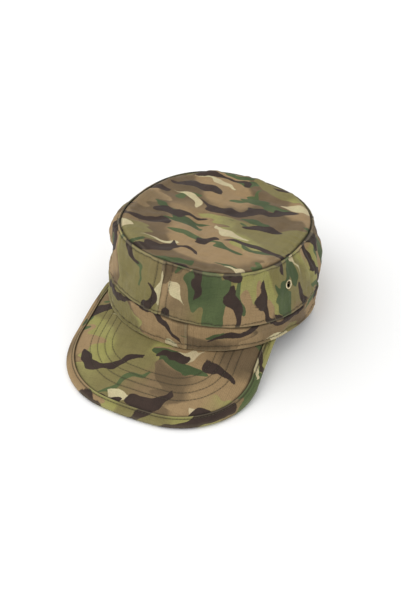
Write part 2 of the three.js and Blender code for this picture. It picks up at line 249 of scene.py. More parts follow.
# Brush strokes, in mm: lean, bend and wander in radians, taper as the width left at the ends
STROKES = named(
    "seed spacing short long thin thick lean bend taper",
    dark=(31, 43, 20, 74, 6, 14, 0.3, 1.1, 0.45),
    twigs=(51, 58, 18, 46, 4, 8.5, 0.35, 0.9, 0.5),
    cream=(42, 66, 20, 46, 6, 13, 0.15, 0.7, 0.1),
)
STROKE_STEPS, STROKE_TRIES, STROKE_WANDER = 14, 12, 0.35
CLOTH_AREA = (0.72, 0.56)

# Rows of stitches: how far they stay clear of a strip's ends, how many points carry them, and the
# step over which the cloth's slope is taken
ROW = mm(step=0.4, clear=0.8, joint_clear=3.4)
ROW_POINTS = Record(round=1500, joint=160)

# Sewing: how far stitches rise and sink in radii of the thread, how unlike they are, and where the
# peak's rows run
THREAD_RISE, THREAD_SUNK = 1.6, -1.1
STITCH_SPREAD = ((0.93, 0.9, 0.9), (1.05, 1.1, 1.1))
PEAK_STITCHES = mm(under=0.3, past=2)
BINDING_STITCH_ENDS = 12

# Speckles to a metre
THREAD_GRAIN = Record(fuzz=900, twist=2600)
BRASS_GRAIN = Record(patches=420, scratches=2400)
STAGE_GRAIN = 3
FINE_BUMP = 0.1 * MM

# The stage, and the picture that the camera repeats
LIGHTS = table(
    "name place size",
    ("key", (-0.8, -0.4, 1.5), 2.0),
    ("fill", (0.9, -1.5, 0.9), 1.2),
)
FLOOR_HALF = 30.0
FLOOR_LEVEL = -0.3 * MM
LIT_MIDDLE = Vector((0, 0, 0.05))
PICTURE = (401, 601)
SENSOR = 36.0
CLIP_END = 100

# Where each piece was cut from the printed cloth: its middle or corner, and its turn in degrees
CUTS = named(
    "x y turn",
    crown_panel=(0.17, 0.21, 0),
    crown_side=(0.34, 0.0, 90),
    hat_band=(0.03, 0.15, 0),
    peak_cover=(0.6, 0.4, 0),
    peak_edge=(0.1, 0.07, 0),
)


# Numbers

def smooth_share(value):
    share = np.clip(value, 0.0, 1.0)
    return share * share * (3 - 2 * share)


def between(value, low, high):
    return smooth_share((value - low) / (high - low))


def bell(distance, width):
    return np.exp(-((distance / width) ** 2))


def mix(low, high, share):
    return low + (high - low) * share


def rest_softly(height):
    """Heights where cloth bends onto the table instead of breaking off at it."""
    return np.maximum((height + np.sqrt(height ** 2 + TABLE.bend ** 2)) / 2 - TABLE.settle, 0)


def turn_between(start, end):
    return (end - start + 180) % 360 - 180


def outward(angle):
    turn = np.radians(angle)
    return np.stack([np.sin(turn), -np.cos(turn), np.zeros_like(turn)], -1)


def waves(place, seed, size, stretch, count=28):
    """Smooth noise of about unit strength over a plane, with shapes of a size in millimetres."""
    random = np.random.default_rng(seed)
    turn = random.uniform(0, 2 * np.pi, count)
    pitch = random.uniform(0.55, 1.35, count) * 2 * np.pi / (size * MM)
    start = random.uniform(0, 2 * np.pi, count)
    total = np.zeros(place.shape[:-1])
    for way, steps, phase in zip(turn, pitch, start):
        across = place[..., 0] * np.cos(way) * steps / stretch
        total += np.cos(across + place[..., 1] * np.sin(way) * steps + phase)
    return total * math.sqrt(2 / count)


def ripple(name, place):
    fold = RIPPLES[name]
    return fold.high * MM * waves(place, fold.seed, fold.size, fold.stretch)


def with_edges(length, steps):
    """Steps from 0 to a length, fine near both ends and coarse between."""
    near = steps.near
    edge = np.linspace(0, near, max(int(round(near / steps.fine)), 1) + 1)
    count = max(int(round((length - 2 * near) / steps.coarse)), 1) + 1
    middle = np.linspace(near, length - near, count)
    return np.concatenate([edge, middle[1:-1], length - edge[::-1]])


def crease_depth(crease, sideways, upwards):
    """A crease in cloth: a furrow with a lower ridge beside it."""
    slant = math.radians(crease.slant)
    wide = crease.wide * MM
    along = sideways * math.cos(slant) + upwards * math.sin(slant)
    across = upwards * math.cos(slant) - sideways * math.sin(slant)
    ridge = 0.5 * bell(across - 2.1 * wide, wide)
    return crease.deep * MM * bell(along, crease.long * MM) * (ridge - bell(across, wide))


def spanned(low, high, share, angle, out):
    """Points between a strip's lower and upper edges, moved outwards."""
    return low + (high - low) * share[..., None] + outward(angle) * out[..., None]


# The camouflage print

def stroke_distance(place, strokes):
    """Depth inside the nearest of many curved brush strokes, negative outside them."""
    flat = place.reshape(-1, 2)
    random = np.random.default_rng(strokes.seed)
    count = int(CLOTH_AREA[0] * CLOTH_AREA[1] / (strokes.spacing * MM) ** 2)
    share = np.linspace(0, 1, STROKE_STEPS + 1)
    best = np.full(len(flat), -1.0)
    middles = []
    for _ in range(count):
        tries = random.uniform((0, 0), CLOTH_AREA, (STROKE_TRIES, 2))
        middle = tries[0]
        if middles:
            apart = np.linalg.norm(tries[:, None] - np.array(middles)[None], axis=2).min(1)
            middle = tries[apart.argmax()]
        middles.append(middle)
        length = random.uniform(strokes.short * MM, strokes.long * MM)
        half = random.uniform(strokes.thin * MM, strokes.thick * MM) / 2
        way = strokes.lean + random.normal(0, STROKE_WANDER)
        way = way + random.normal(0, strokes.bend) * (share - 0.5)
        way = way + random.uniform(0.1, 0.35) * np.sin(share * 7 + random.uniform(0, 6.28))
        step = np.stack([np.cos(way), np.sin(way)], 1) * length / STROKE_STEPS
        path = middle + np.cumsum(step, 0) - step.sum(0) / 2
        heavy = random.uniform(0.2, 0.8)
        width = half * mix(strokes.taper, 1, bell(share - heavy, 0.28))
        beat, start = random.uniform(8, 14), random.uniform(0, 6.28)
        width = width * (1 + 0.15 * np.sin(share * beat + start))
        width = width * np.clip(np.minimum(share, 1 - share) / 0.12, 0, 1) ** 0.5
        near = np.nonzero(np.linalg.norm(flat - middle, axis=1) < length * 0.75 + half)[0]
        for i in range(STROKE_STEPS if len(near) else 0):
            leg = path[i + 1] - path[i]
            along = np.clip(((flat[near] - path[i]) @ leg) / (leg @ leg), 0, 1)
            away = np.linalg.norm(flat[near] - path[i] - along[:, None] * leg, axis=1)
            best[near] = np.maximum(best[near], mix(width[i], width[i + 1], along) - away)
    return best.reshape(place.shape[:-1])


def camouflage(cloth):
    """The print's layers at places on the cloth, each a value for the cloth's material."""
    moved = cloth + np.stack([
        ripple("print_drift_x", cloth) + ripple("print_fray_x", cloth),
        ripple("print_drift_y", cloth) + ripple("print_fray_y", cloth),
    ], -1)
    tongues = ripple("print_tongues", cloth * np.array([TONGUE_PULL, 1]))
    torn = moved + np.stack([tongues, np.zeros_like(tongues)], -1)
    at = Record(**{name: waves(torn if name in TORN_FIELDS else moved, **vars(field))
                   for name, field in PRINT_FIELDS.items()})
    levels = PRINT_LEVELS
    leaves = (at.green + levels.twigs_in_green * at.twigs - levels.green) * PRINT_EDGES.green
    return {
        "warm": between(at.warm, 0.1, 1),
        "brown": (at.brown - levels.brown) * PRINT_EDGES.brown,
        "fade": between(at.fade + levels.brown_in_fade * at.brown, -0.6, 1.1),
        "green": np.maximum(leaves, stroke_distance(moved, STROKES["twigs"])),
        "tone": between(at.tone, -1, 1),
        "dark": stroke_distance(moved, STROKES["dark"]),
        "cream": stroke_distance(moved, STROKES["cream"]),
    }


def on_cloth(flat, piece):
    """Places of a piece's flat pattern on the printed cloth that it was cut from."""
    cut = CUTS[piece]
    sine, cosine = math.sin(math.radians(cut.turn)), math.cos(math.radians(cut.turn))
    return flat @ np.array([[cosine, sine], [-sine, cosine]]) + np.array([cut.x, cut.y])


# The cap's shape

class Strip:
    """A strip of folded cloth round the head, from its lapped joint round to the joint again."""

    def __init__(self, joint, radius, tall, thick, face, back):
        self.joint, self.tall, self.thick = joint, tall, thick
        self.face, self.back = face, back
        self.around = 2 * math.pi * radius

    def place(self, run, rise):
        """The angle of a place, and its distance from the joint, which is negative before it."""
        angle = mix(self.joint.bottom, self.joint.top, rise / self.tall) + 360 * run / self.around
        return angle, np.where(run < self.around / 2, run, run - self.around)

    def outside(self, run, rise):
        angle, gap = self.place(run, rise)
        return self.face(angle, rise, gap)

    def profile(self):
        """Rise and inset of each row round the strip's cut, up its face and down its back."""
        half = self.thick / 2
        face = with_edges(self.tall - 2 * half, UP_STRIP) + half
        back = np.linspace(self.tall - half, half, int(self.tall / UP_STRIP.back))
        fold = np.radians(np.linspace(0, 180, FOLD_STEPS))[1:-1]
        rise = [face, self.tall - half + half * np.sin(fold), back, half - half * np.sin(fold)]
        inset = [np.zeros(len(face)), half - half * np.cos(fold), np.full(len(back), self.thick),
                 half + half * np.cos(fold)]
        return np.concatenate(rise), np.concatenate(inset)

    def grid(self):
        """Points of the closed strip and its flat pattern, with the gap, rise and depth of each."""
        run = with_edges(self.around, ALONG_STRIP)
        run = np.clip(run, ALONG_STRIP.inset, self.around - 1e-6)
        rise, inset = self.profile()
        length = np.concatenate([[0], np.cumsum(np.hypot(np.diff(rise), np.diff(inset)))])
        rows = np.concatenate([length, [length[-1] + self.thick / 4]])
        flat = np.stack(np.meshgrid(np.append(run, self.around), rows, indexing="ij"), -1)
        run, rise = np.meshgrid(run, rise, indexing="ij")
        depth = np.broadcast_to(inset, run.shape) / self.thick
        angle, gap = self.place(run, rise)
        outer = self.face(angle, rise, gap)
        points = outer + (self.back(angle, rise) - outer) * depth[..., None]
        return points, flat, gap, rise, depth

    def row(self, run, rise):
        """A row of stitches: its points, and the cloth's outward direction at each."""
        here = self.outside(run, rise)
        along = self.outside(run + ROW.step, rise) - here
        way = np.cross(along, self.outside(run, rise + ROW.step) - here)
        return here, way / np.linalg.norm(way, axis=-1, keepdims=True)

    def level_row(self, rise):
        """A row round the whole strip, a length over its lower edge."""
        run = np.linspace(ROW.clear, self.around - ROW.clear, ROW_POINTS.round)
        return self.row(run, np.full_like(run, rise))

    def joint_rows(self, inset):
        """The two rows along the lapped joint."""
        rise = np.linspace(ROW.joint_clear, self.tall - ROW.joint_clear, ROW_POINTS.joint)
        return [self.row(np.full_like(rise, run), rise) for run in (inset, self.around - inset)]


class CapShape:
    """The forms that the pieces share, worked out from the named sizes."""

    def __init__(self, sizes, stitching):
        self.sizes = sizes
        self.stitching = stitching
        halves = {
            "top": (sizes.top_front, sizes.top_back, sizes.top_half_width, sizes.wall_height),
            "seam": (sizes.seam_front, sizes.seam_back, sizes.seam_half_width, 0.0),
            "hem": (sizes.hem_front, sizes.hem_back, sizes.hem_half_width, -sizes.band_height),
        }
        self.ovals = {}
        for name, (front, back, side, up) in halves.items():
            oval = Record(**vars(OVALS[name]), front=front, back=back, side=side, up=up)
            self.ovals[name] = oval
        self.wall = Strip(FRONT_SEAM, sizes.seam_half_width, sizes.wall_height,
                          sizes.wall_thickness, self.wall_face, self.wall_back)
        self.band = Strip(BAND_JOINT, sizes.hem_half_width, sizes.band_height,
                          sizes.band_thickness, self.band_face, self.band_back)
        self.skin = sizes.gap + sizes.binding_thickness
        self.rim_half = sizes.peak_thickness / 2 + self.skin
        self.place = np.zeros(3)
        self.rest_lift = 0.0
        self.hem_back_drop = 0.0
        self.rest_lift = self.rim_half + sizes.peak_drop - self.oval_point("hem", 0.0)[2]
        hem_back = self.oval_point("hem", 180.0)[2]
        self.hem_back_drop = hem_back + self.rest_lift + sizes.hem_press
        self.outline = self.peak_outline()
        self.place = self.find_place()

    def find_place(self):
        """Where the head's middle lies in the frame: the band and the rim meet the solids' box."""
        band_low, band_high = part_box("band")
        rim_low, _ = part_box("peak_binding")
        angle = np.linspace(0, 360, ROUND_STEPS)
        wide = np.concatenate([self.seam_point(angle)[:, 0], self.hem_point(angle)[:, 0]])
        across = (band_low[0] + band_high[0] - wide.min() - wide.max()) / 2
        return np.array([across, rim_low[1] - self.peak_front_y + self.skin, 0.0])

    def oval_radius(self, name, angle):
        oval = self.ovals[name]
        turn = np.radians(angle)
        along = np.abs(np.cos(turn)) / np.where(np.cos(turn) > 0, oval.front, oval.back)
        across = np.abs(np.sin(turn)) / oval.side
        return (along ** oval.power + across ** oval.power) ** (-1 / oval.power)

    def oval_point(self, name, angle, share=1.0, up=0.0):
        """A point of an oval or inside it, at a share of its radius and a height over its plane."""
        oval = self.ovals[name]
        flat = outward(angle) * (self.oval_radius(name, angle) * share)[..., None]
        pitch = -math.radians(oval.pitch)
        lean = math.radians(oval.lean)
        y = flat[..., 1] * math.cos(pitch) - up * math.sin(pitch)
        z = flat[..., 1] * math.sin(pitch) + up * math.cos(pitch)
        x = flat[..., 0] * math.cos(lean) + z * math.sin(lean)
        z = z * math.cos(lean) - flat[..., 0] * math.sin(lean) + oval.up + self.rest_lift
        half = self.sizes.seam_half_width
        return np.stack([x + oval.across * half, y + oval.along * half, z], -1) + self.place

    def back_share(self, angle):
        return ((1 - np.cos(np.radians(angle))) / 2) ** 3

    def seam_point(self, angle):
        point = self.oval_point("seam", angle)
        point[..., 2] += self.sizes.seam_back_lift * self.back_share(angle)
        return point

    def hem_point(self, angle):
        point = self.oval_point("hem", angle)
        point[..., 2] -= self.hem_back_drop * self.back_share(angle)
        point[..., 2] += self.sizes.hem_side_rise * np.sin(np.radians(angle)) ** 4
        point[..., 2] = rest_softly(point[..., 2])
        return point

    def furrow(self, distance):
        """Share of a stitched row's depth at a distance from it."""
        return bell(distance, self.stitching.row_width)

    # The wall of the crown

    def wall_share(self, angle, rise):
        """Share of the way up the wall of a place that lies a length over its lower edge."""
        tall = self.sizes.wall_height
        real = np.linalg.norm(self.oval_point("top", angle) - self.seam_point(angle), axis=-1)
        return mix(rise / real, 1 - (tall - rise) / real, smooth_share(rise / tall))

    def wall_out(self, angle, share):
        total = np.zeros_like(share)
        for form in WALL_FORMS:
            near = bell(turn_between(form.angle, angle), form.across)
            total += form.out * near * bell(share - form.height, form.tall)
        tall = self.sizes.wall_height
        clear = (1 - share) * tall / self.sizes.top_thickness - 1
        return tall * smooth_share(share / 0.12) * smooth_share(clear / 2) * total

    def wall_detail(self, angle, rise, joint_gap):
        """How far the wall's outer face stands out with its seams, gathers and creases."""
        stitching = self.stitching
        from_top = self.sizes.wall_height - rise
        run = np.stack([np.radians(angle) * self.sizes.seam_half_width, rise], -1)
        rolls = WALL_ROLL_TOP * bell(from_top - WALL_ROLL.at, WALL_ROLL.wide)
        rolls += WALL_ROLL_LOW * bell(rise - WALL_ROLL.at, WALL_ROLL.wide)
        rolls *= WALL_ROLL.high + ripple("wall_rolls", run)
        inset = stitching.seam_inset
        rows = self.furrow(from_top - inset) + self.furrow(rise - inset)
        folds = self.wall_folds(angle, rise)
        return rolls - stitching.row_depth * rows + folds + self.lap(joint_gap)

    def wall_folds(self, angle, rise):
        """How far the whole thickness of the wall stands out with its gathers and creases."""
        sizes = self.sizes
        from_top = sizes.wall_height - rise
        run = np.stack([np.radians(angle) * sizes.seam_half_width, rise], -1)
        inside = smooth_share(rise / GATHERS.held) * smooth_share(from_top / GATHERS.held)
        gathers = np.exp(-from_top / GATHERS.wall_top) + np.exp(-rise / GATHERS.wall_low)
        folds = ripple("wall_puckers", run) * gathers
        folds += ripple("wall_swells", run) + ripple("wall_fine", run)
        for crease in WALL_CREASES:
            sideways = np.radians(turn_between(crease.angle, angle)) * sizes.seam_half_width
            folds += crease_depth(crease, sideways, rise - crease.height * sizes.wall_height)
        return inside * folds

    def lap(self, joint_gap):
        """Thickness and stitched rows by a lapped joint, from the signed distance to its edge."""
        doubled = joint_gap <= 0
        over = smooth_share((self.sizes.lap_width + joint_gap) / LAP.slope) * doubled
        rounded = LAP.high * bell(joint_gap + LAP.at, LAP.wide) * doubled
        inset = self.stitching.lap_inset
        rows = self.furrow(joint_gap + inset) + self.furrow(joint_gap - inset)
        return self.sizes.lap_height * over + rounded - LAP_ROW * self.stitching.row_depth * rows

    def wall_face(self, angle, rise, joint_gap):
        share = self.wall_share(angle, rise)
        out = self.wall_out(angle, share) + self.wall_detail(angle, rise, joint_gap)
        point = spanned(self.seam_point(angle), self.oval_point("top", angle), share, angle, out)
        point[..., 2] += mix(self.sizes.gap / 2, 0, share)
        return point

    def wall_back(self, angle, rise):
        share = self.wall_share(angle, rise)
        out = self.wall_out(angle, share) + self.wall_folds(angle, rise) - self.sizes.wall_thickness
        return spanned(self.seam_point(angle), self.oval_point("top", angle), share, angle, out)

    # The band

    def band_point(self, angle, rise, out):
        share = rise / self.sizes.band_height
        return spanned(self.hem_point(angle), self.seam_point(angle), share, angle, out)

    def band_face(self, angle, rise, joint_gap):
        stitching = self.stitching
        from_top = self.sizes.band_height - rise
        out = HEM.fold * smooth_share((stitching.hem_inset - rise) / HEM.slope)
        out -= stitching.row_depth * self.furrow(rise - stitching.hem_inset)
        out -= HEM.tuck * smooth_share((HEM.tuck_reach - from_top) / HEM.tuck_reach)
        out += self.lap(joint_gap) * smooth_share(from_top / HEM.lap_fade)
        return self.band_point(angle, rise, out + self.band_folds(angle, rise))

    def band_folds(self, angle, rise):
        """How far the whole thickness of the band stands out with its gathers."""
        from_top = self.sizes.band_height - rise
        run = np.stack([np.radians(angle) * self.sizes.hem_half_width, rise], -1)
        inside = smooth_share(rise / GATHERS.held) * smooth_share(from_top / GATHERS.held)
        gathers = np.exp(-rise / GATHERS.band) + 0.8 * np.exp(-from_top / GATHERS.band)
        return inside * (ripple("band_puckers", run) * gathers + ripple("band_swells", run))

    def band_back(self, angle, rise):
        return self.band_point(angle, rise,
                               self.band_folds(angle, rise) - self.sizes.band_thickness)

    # The top panel

    def top_rise(self, across, along, ring):
        total = np.zeros_like(ring)
        for form in TOP_FORMS:
            apart = np.hypot(across - form.across, along - form.along)
            total += form.rise * bell(apart, form.reach)
        shoulder = self.sizes.top_thickness * smooth_share((1 - ring) / 0.1)
        return shoulder + self.sizes.wall_height * smooth_share((1 - ring) / 0.3) * total

    def top_reach(self, angle):
        return self.oval_radius("top", angle) - self.sizes.wall_thickness - self.sizes.gap

    def top_face(self, angle, edge):
        """The top panel's upper face, at a length inside its own edge."""
        sizes = self.sizes
        radius = self.oval_radius("top", angle)
        reach = self.top_reach(angle)
        ring = 1 - edge / reach
        share = ring * reach / radius
        turn = np.radians(angle)
        flat = outward(angle)[..., :2] * (radius * share)[..., None]
        x, y = flat[..., 0], flat[..., 1]
        up = self.top_rise(x / sizes.top_half_width, y / sizes.top_front, ring)
        up -= TOP_EDGE.deep * (1 - smooth_share((edge + TOP_EDGE.start) / TOP_EDGE.slope))
        run = np.stack([turn * sizes.top_half_width, edge], -1)
        puckers = ripple("top_puckers", run) * np.exp(-edge / GATHERS.top)
        folds = puckers * smooth_share(ring / 0.25)
        folds += ripple("top_swells", flat) + ripple("top_fine", flat)
        for crease in TOP_CREASES:
            folds += crease_depth(crease, x - crease.x * MM, y - crease.y * MM)
        full = smooth_share(0.5 - np.cos(turn - TOP_PUFF_TURN))
        folds += TOP_PUFF.high * bell(edge - TOP_PUFF.at, TOP_PUFF.wide) * full
        return self.oval_point("top", angle, share, up + folds * smooth_share(edge / GATHERS.held))

    # The peak

    def peak_outline(self):
        """The rim's plan, from its end on the wearer's left round the front to its other end."""
        sizes = self.sizes
        middle_x = self.ovals["hem"].across * sizes.seam_half_width
        self.peak_front_y = self.hem_point(0.0)[1] - sizes.peak_reach
        front_y = self.peak_front_y + sizes.peak_front
        corner_x = sizes.peak_half_width - sizes.peak_corner
        front_gap = sizes.peak_front - sizes.peak_corner
        corner_y = front_y - math.sqrt(front_gap ** 2 - corner_x ** 2)
        corner_turn = math.asin(corner_x / front_gap)

        def arc(x, y, radius, start, end):
            turn = np.linspace(start, end, ARC_STEPS)
            return np.stack([x + radius * np.cos(turn), y + radius * np.sin(turn)], -1)

        left, right = (self.hem_point(end.angle) - outward(end.angle) * end.inset * MM
                       for end in PEAK_ENDS)
        down = -math.pi / 2
        path = np.concatenate([
            left[None, :2],
            arc(middle_x + corner_x, corner_y, sizes.peak_corner, 0, down + corner_turn),
            arc(middle_x, front_y, sizes.peak_front, down + corner_turn, down - corner_turn),
            arc(middle_x - corner_x, corner_y, sizes.peak_corner, down - corner_turn, -math.pi),
            right[None, :2],
        ])
        steps = np.linalg.norm(np.diff(path, axis=0), axis=1)
        path = path[np.append(True, steps > 1e-9)]
        steps = np.linalg.norm(np.diff(path, axis=0), axis=1)
        self.rim_length = np.append(0, np.cumsum(steps))
        return path

    def rim_at(self, share):
        """Rim points in plan and the directions along the rim at shares of its length."""
        total = self.rim_length[-1]

        def at(where):
            where = np.clip(where, 0, total)
            x, y = (np.interp(where, self.rim_length, line) for line in self.outline.T)
            return np.stack([x, y], -1)

        tangent = at(share * total + RIM_STEP) - at(share * total - RIM_STEP)
        tangent /= np.linalg.norm(tangent, axis=-1, keepdims=True)
        return at(share * total), tangent

    def peak_columns(self):
        """The lines across the peak, from its rim straight in to its end under the band."""
        sizes = self.sizes
        left, right = PEAK_ENDS
        share = np.linspace(0, 1, PEAK_COLUMNS)
        angle = mix(left.angle, right.angle, share)
        flat, tangent = self.rim_at(share)
        level_plane = np.zeros((PEAK_COLUMNS, 1))
        rim = np.concatenate([flat + self.place[:2], level_plane], -1)
        from_end = smooth_share(np.minimum(share, 1 - share) * self.rim_length[-1] / PEAK_END_REACH)
        pull = np.where(share < 0.5, left.pull, right.pull) * MM * (1 - from_end)
        rim -= outward(angle) * pull[:, None]
        normal = np.stack([-tangent[:, 1], tangent[:, 0]], -1)
        facing_out = ((rim[:, :2] - self.place[:2]) * normal).sum(1, keepdims=True)
        normal = np.concatenate([normal * np.sign(facing_out), level_plane], -1)
        hem = self.hem_point(angle)
        under = hem - outward(angle) * sizes.peak_tuck
        under[:, 2] = 0
        full = np.linalg.norm(under - rim, axis=1)
        inwards = (under - rim) / full[:, None]
        tucked = -(sizes.peak_tuck + 2 * sizes.gap) / (outward(angle) * inwards).sum(1)
        span = np.maximum(full - tucked, 1e-6)
        bound = -sizes.binding_width / (normal * inwards).sum(1)
        room = self.skin * (1 - smooth_share((span - bound) / sizes.binding_width))
        level = hem[:, 2] - sizes.gap - room
        climb = np.maximum(1 - span / sizes.peak_lift_width, 0) ** sizes.peak_lift_ease
        half = sizes.peak_thickness / 2
        return Record(rim=rim, inwards=inwards, normal=normal, full=full, span=span, bound=bound,
                      level=level, rim_top=mix(self.rim_half, level - half, climb) + half,
                      run=share * self.rim_length[-1], pressed=mix(PEAK_END_FLAT, 1, from_end))

    def peak_plain(self, lines, inset):
        """The peak's upper face without its stitched rows."""
        share = np.minimum(inset / lines.span[:, None], 1)
        bow = share + self.sizes.peak_arch * share * (1 - share)
        point = lines.rim[:, None] + lines.inwards[:, None] * inset[..., None]
        point[..., 2] = mix(lines.rim_top[:, None], lines.level[:, None], bow)
        return point

    def rim_distance(self, point):
        """Shortest plan distance from points to the rim."""
        flat = point[..., :2].reshape(-1, 2) - self.place[:2]
        best = np.full(len(flat), 1.0)
        for start, end in zip(self.outline[:-1], self.outline[1:]):
            leg = end - start
            along = np.clip(((flat - start) @ leg) / (leg @ leg), 0, 1)
            best = np.minimum(best, np.linalg.norm(flat - start - along[:, None] * leg, axis=1))
        return best.reshape(point.shape[:-1])

    def peak_rows(self):
        """Distances of the peak's stitched rows from its rim."""
        stitching = self.stitching
        return stitching.peak_first + stitching.peak_spacing * np.arange(stitching.peak_rows)

    def peak_furrows(self, distance):
        rows = sum(self.furrow(distance - at) for at in self.peak_rows())
        return PEAK_ROW * self.stitching.row_depth * rows

    def peak_face(self, lines):
        """The peak's upper face with its rows, and each point's distance from the rim."""
        inset = lines.full[:, None] * np.linspace(0, 1, PEAK_FACE_ROWS)[None]
        point = self.peak_plain(lines, inset)
        distance = self.rim_distance(point)
        bound = distance - self.sizes.binding_width
        free = smooth_share(bound / PEAK_SEAM.free)
        swells = ripple("peak_swells", point[..., :2]) + ripple("peak_fine", point[..., :2])
        point[..., 2] += free * (swells - self.peak_furrows(distance))
        point[..., 2] -= PEAK_SEAM.deep * bell(bound, PEAK_SEAM.wide)
        return point, distance, inset


# Mesh pieces

def make_piece(name, points, cloth, values, around=False, caps=()):
    """A mesh object from a grid of points, with its place on the cloth and its surface values."""
    columns, rows = points.shape[:2]
    i = np.arange(columns if around else columns - 1)
    i, j = (grid.ravel() for grid in np.meshgrid(i, np.arange(rows), indexing="ij"))
    steps = np.stack([[i, j], [i + 1, j], [i + 1, j + 1], [i, j + 1]]).transpose(2, 0, 1)
    corners = steps[..., 0] % columns * rows + steps[..., 1] % rows
    flat = points.reshape(-1, 3)
    a, b, c, d = (flat[corners[:, k]] for k in range(4))
    if (a * np.cross(b, c)).sum() + (a * np.cross(c, d)).sum() < 0:
        corners, steps = corners[:, ::-1], steps[:, ::-1]
        caps = [cap[::-1] for cap in caps]
    mesh = bpy.data.meshes.new(name)
    sizes = np.array([4] * len(corners) + [len(cap) for cap in caps], np.int32)
    loops = np.concatenate([corners.ravel(), *caps]).astype(np.int32)
    mesh.vertices.add(len(flat))
    mesh.vertices.foreach_set("co", flat.astype(np.float32).ravel())
    mesh.loops.add(len(loops))
    mesh.loops.foreach_set("vertex_index", loops)
    mesh.polygons.add(len(sizes))
    mesh.polygons.foreach_set("loop_start", np.append(0, np.cumsum(sizes)[:-1]).astype(np.int32))
    mesh.polygons.foreach_set("loop_total", sizes)
    mesh.update(calc_edges=True)
    on_points = cloth[:columns, :rows].reshape(-1, 2)
    places = [cloth[steps[..., 0], steps[..., 1]].reshape(-1, 2)] + [on_points[cap] for cap in caps]
    layer = mesh.uv_layers.new(name="cloth")
    layer.uv.foreach_set("vector", np.concatenate(places).astype(np.float32).ravel())
    for key, value in values.items():
        attribute = mesh.attributes.new(key, "FLOAT", "POINT")
        attribute.data.foreach_set("value", value.astype(np.float32).ravel())
    mesh.validate()
    mesh.shade_smooth()
    piece = bpy.data.objects.new(name, mesh)
    bpy.context.scene.collection.objects.link(piece)
    return piece


def make_cloth(name, points, flat, worn, creased, reverse=0.0, **ways):
    """A piece of printed cloth, from its points, its flat pattern and shares of wear with painted
    highlight and of painted shade.
    """
    columns, rows = points.shape[:2]
    cloth = on_cloth(flat, name)
    values = camouflage(cloth[:columns, :rows])
    shades = {"reverse": reverse, "worn": np.clip(worn, 0, 1), "creased": np.clip(creased, 0, 1)}
    for key, value in shades.items():
        values[key] = np.broadcast_to(value, (columns, rows)).astype(float)
    return make_piece(name, points, cloth, values, **ways)


def finish_piece(piece, node, slot, material):
    piece.data.materials.clear()
    piece.data.materials.append(material)
    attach(piece, "root")
    if node:
        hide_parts(*node)


def end_caps(points):
    """The points that close a piece at its first and its last column."""
    columns, rows = points.shape[:2]
    return [np.arange(rows)[::-1], (columns - 1) * rows + np.arange(rows)]


def make_crown_side(shape):
    sizes, stitching = shape.sizes, shape.stitching
    points, flat, gap, rise, depth = shape.wall.grid()
    from_top = sizes.wall_height - rise
    # Rubbed paler at the folds and by the lapped edge, which also paints these ridges' highlight
    worn = bell(gap + SHADE.lap_fold, SHADE.rub) * (gap < 0)
    # Painted shade along the stitched rows, at the wall's top and bottom edges and beside the
    # lapped edge
    creased = bell(np.abs(gap) - stitching.lap_inset, SHADE.lap_row)
    for distance in (from_top, rise):
        worn += bell(distance - SHADE.wall_fold, SHADE.rub)
        creased += bell(distance - stitching.seam_inset, SHADE.row)
    creased *= ROW_SHADE
    creased += bell(from_top, SHADE.edge) * (depth > 0.3) + bell(rise, SHADE.low_edge)
    creased += bell(gap, SHADE.edge) * (gap > 0)
    piece = make_cloth("crown_side", points, flat, worn * (depth < 0.5), creased,
                       between(depth, *BACK_FROM), around=True)
    for turn in (sizes.eyelet_turn, -sizes.eyelet_turn):
        punch_hole(piece, shape, math.degrees(turn))
    return piece


def wall_seat(shape, angle):
    """Middle and outward direction of the wall at an eyelet."""
    sizes = shape.sizes

    def at(turn, up):
        share = np.array([sizes.eyelet_height + up / sizes.wall_height])
        where = np.array([angle + math.degrees(turn / sizes.seam_half_width)])
        top = shape.oval_point("top", where)
        return spanned(shape.seam_point(where), top, share, where, shape.wall_out(where, share))[0]

    reach = sizes.eyelet_flange
    out = np.cross(at(reach, 0) - at(-reach, 0), at(0, reach) - at(0, -reach))
    return Vector(at(0, 0)), Vector(out / np.linalg.norm(out))


def punch_hole(piece, shape, angle):
    """Cuts a round hole through both faces of the wall and closes the cut between them."""
    middle, out = wall_seat(shape, angle)
    radius = shape.sizes.eyelet_hole

    def aside(point):
        offset = point - middle
        along = out * offset.dot(out)
        return offset, along, offset - along

    mesh = bmesh.new()
    mesh.from_mesh(piece.data)
    near = []
    for face in mesh.faces:
        offset, _, flat = aside(face.calc_center_median())
        if offset.length < 2 * radius and flat.length < radius:
            near.append(face)
    bmesh.ops.delete(mesh, geom=near, context="FACES")
    edges = [edge for edge in mesh.edges if edge.is_boundary]
    rim = {point for edge in edges for point in edge.verts
           if (point.co - middle).length < 3 * radius}
    for vertex in rim:
        _, along, flat = aside(vertex.co)
        vertex.co = middle + along + flat.normalized() * radius
    edges = [edge for edge in edges if edge.verts[0] in rim and edge.verts[1] in rim]
    bmesh.ops.bridge_loops(mesh, edges=edges)
    mesh.normal_update()
    mesh.to_mesh(piece.data)
    mesh.free()


def make_hat_band(shape):
    points, flat, gap, rise, depth = shape.band.grid()
    points[..., 2] = np.maximum(points[..., 2], 0)
    from_top = shape.sizes.band_height - rise
    # Rubbed paler at the hem and by the lapped edge, which also paints their highlight
    worn = bell(rise - SHADE.hem_fold, SHADE.rub)
    worn += bell(gap + SHADE.lap_fold, SHADE.rub) * (gap < 0)
    # Painted shade along the hem's row, under the wall where the band's top tucks in, and beside
    # the lapped edge
    creased = ROW_SHADE * bell(rise - shape.stitching.hem_inset, SHADE.row)
    creased += smooth_share((SHADE.tuck - from_top) / SHADE.tuck_slope)
    creased += bell(gap, SHADE.edge) * (gap > 0)
    return make_cloth("hat_band", points, flat, worn * (depth < 0.6), creased,
                      between(depth, *BACK_FROM), around=True)


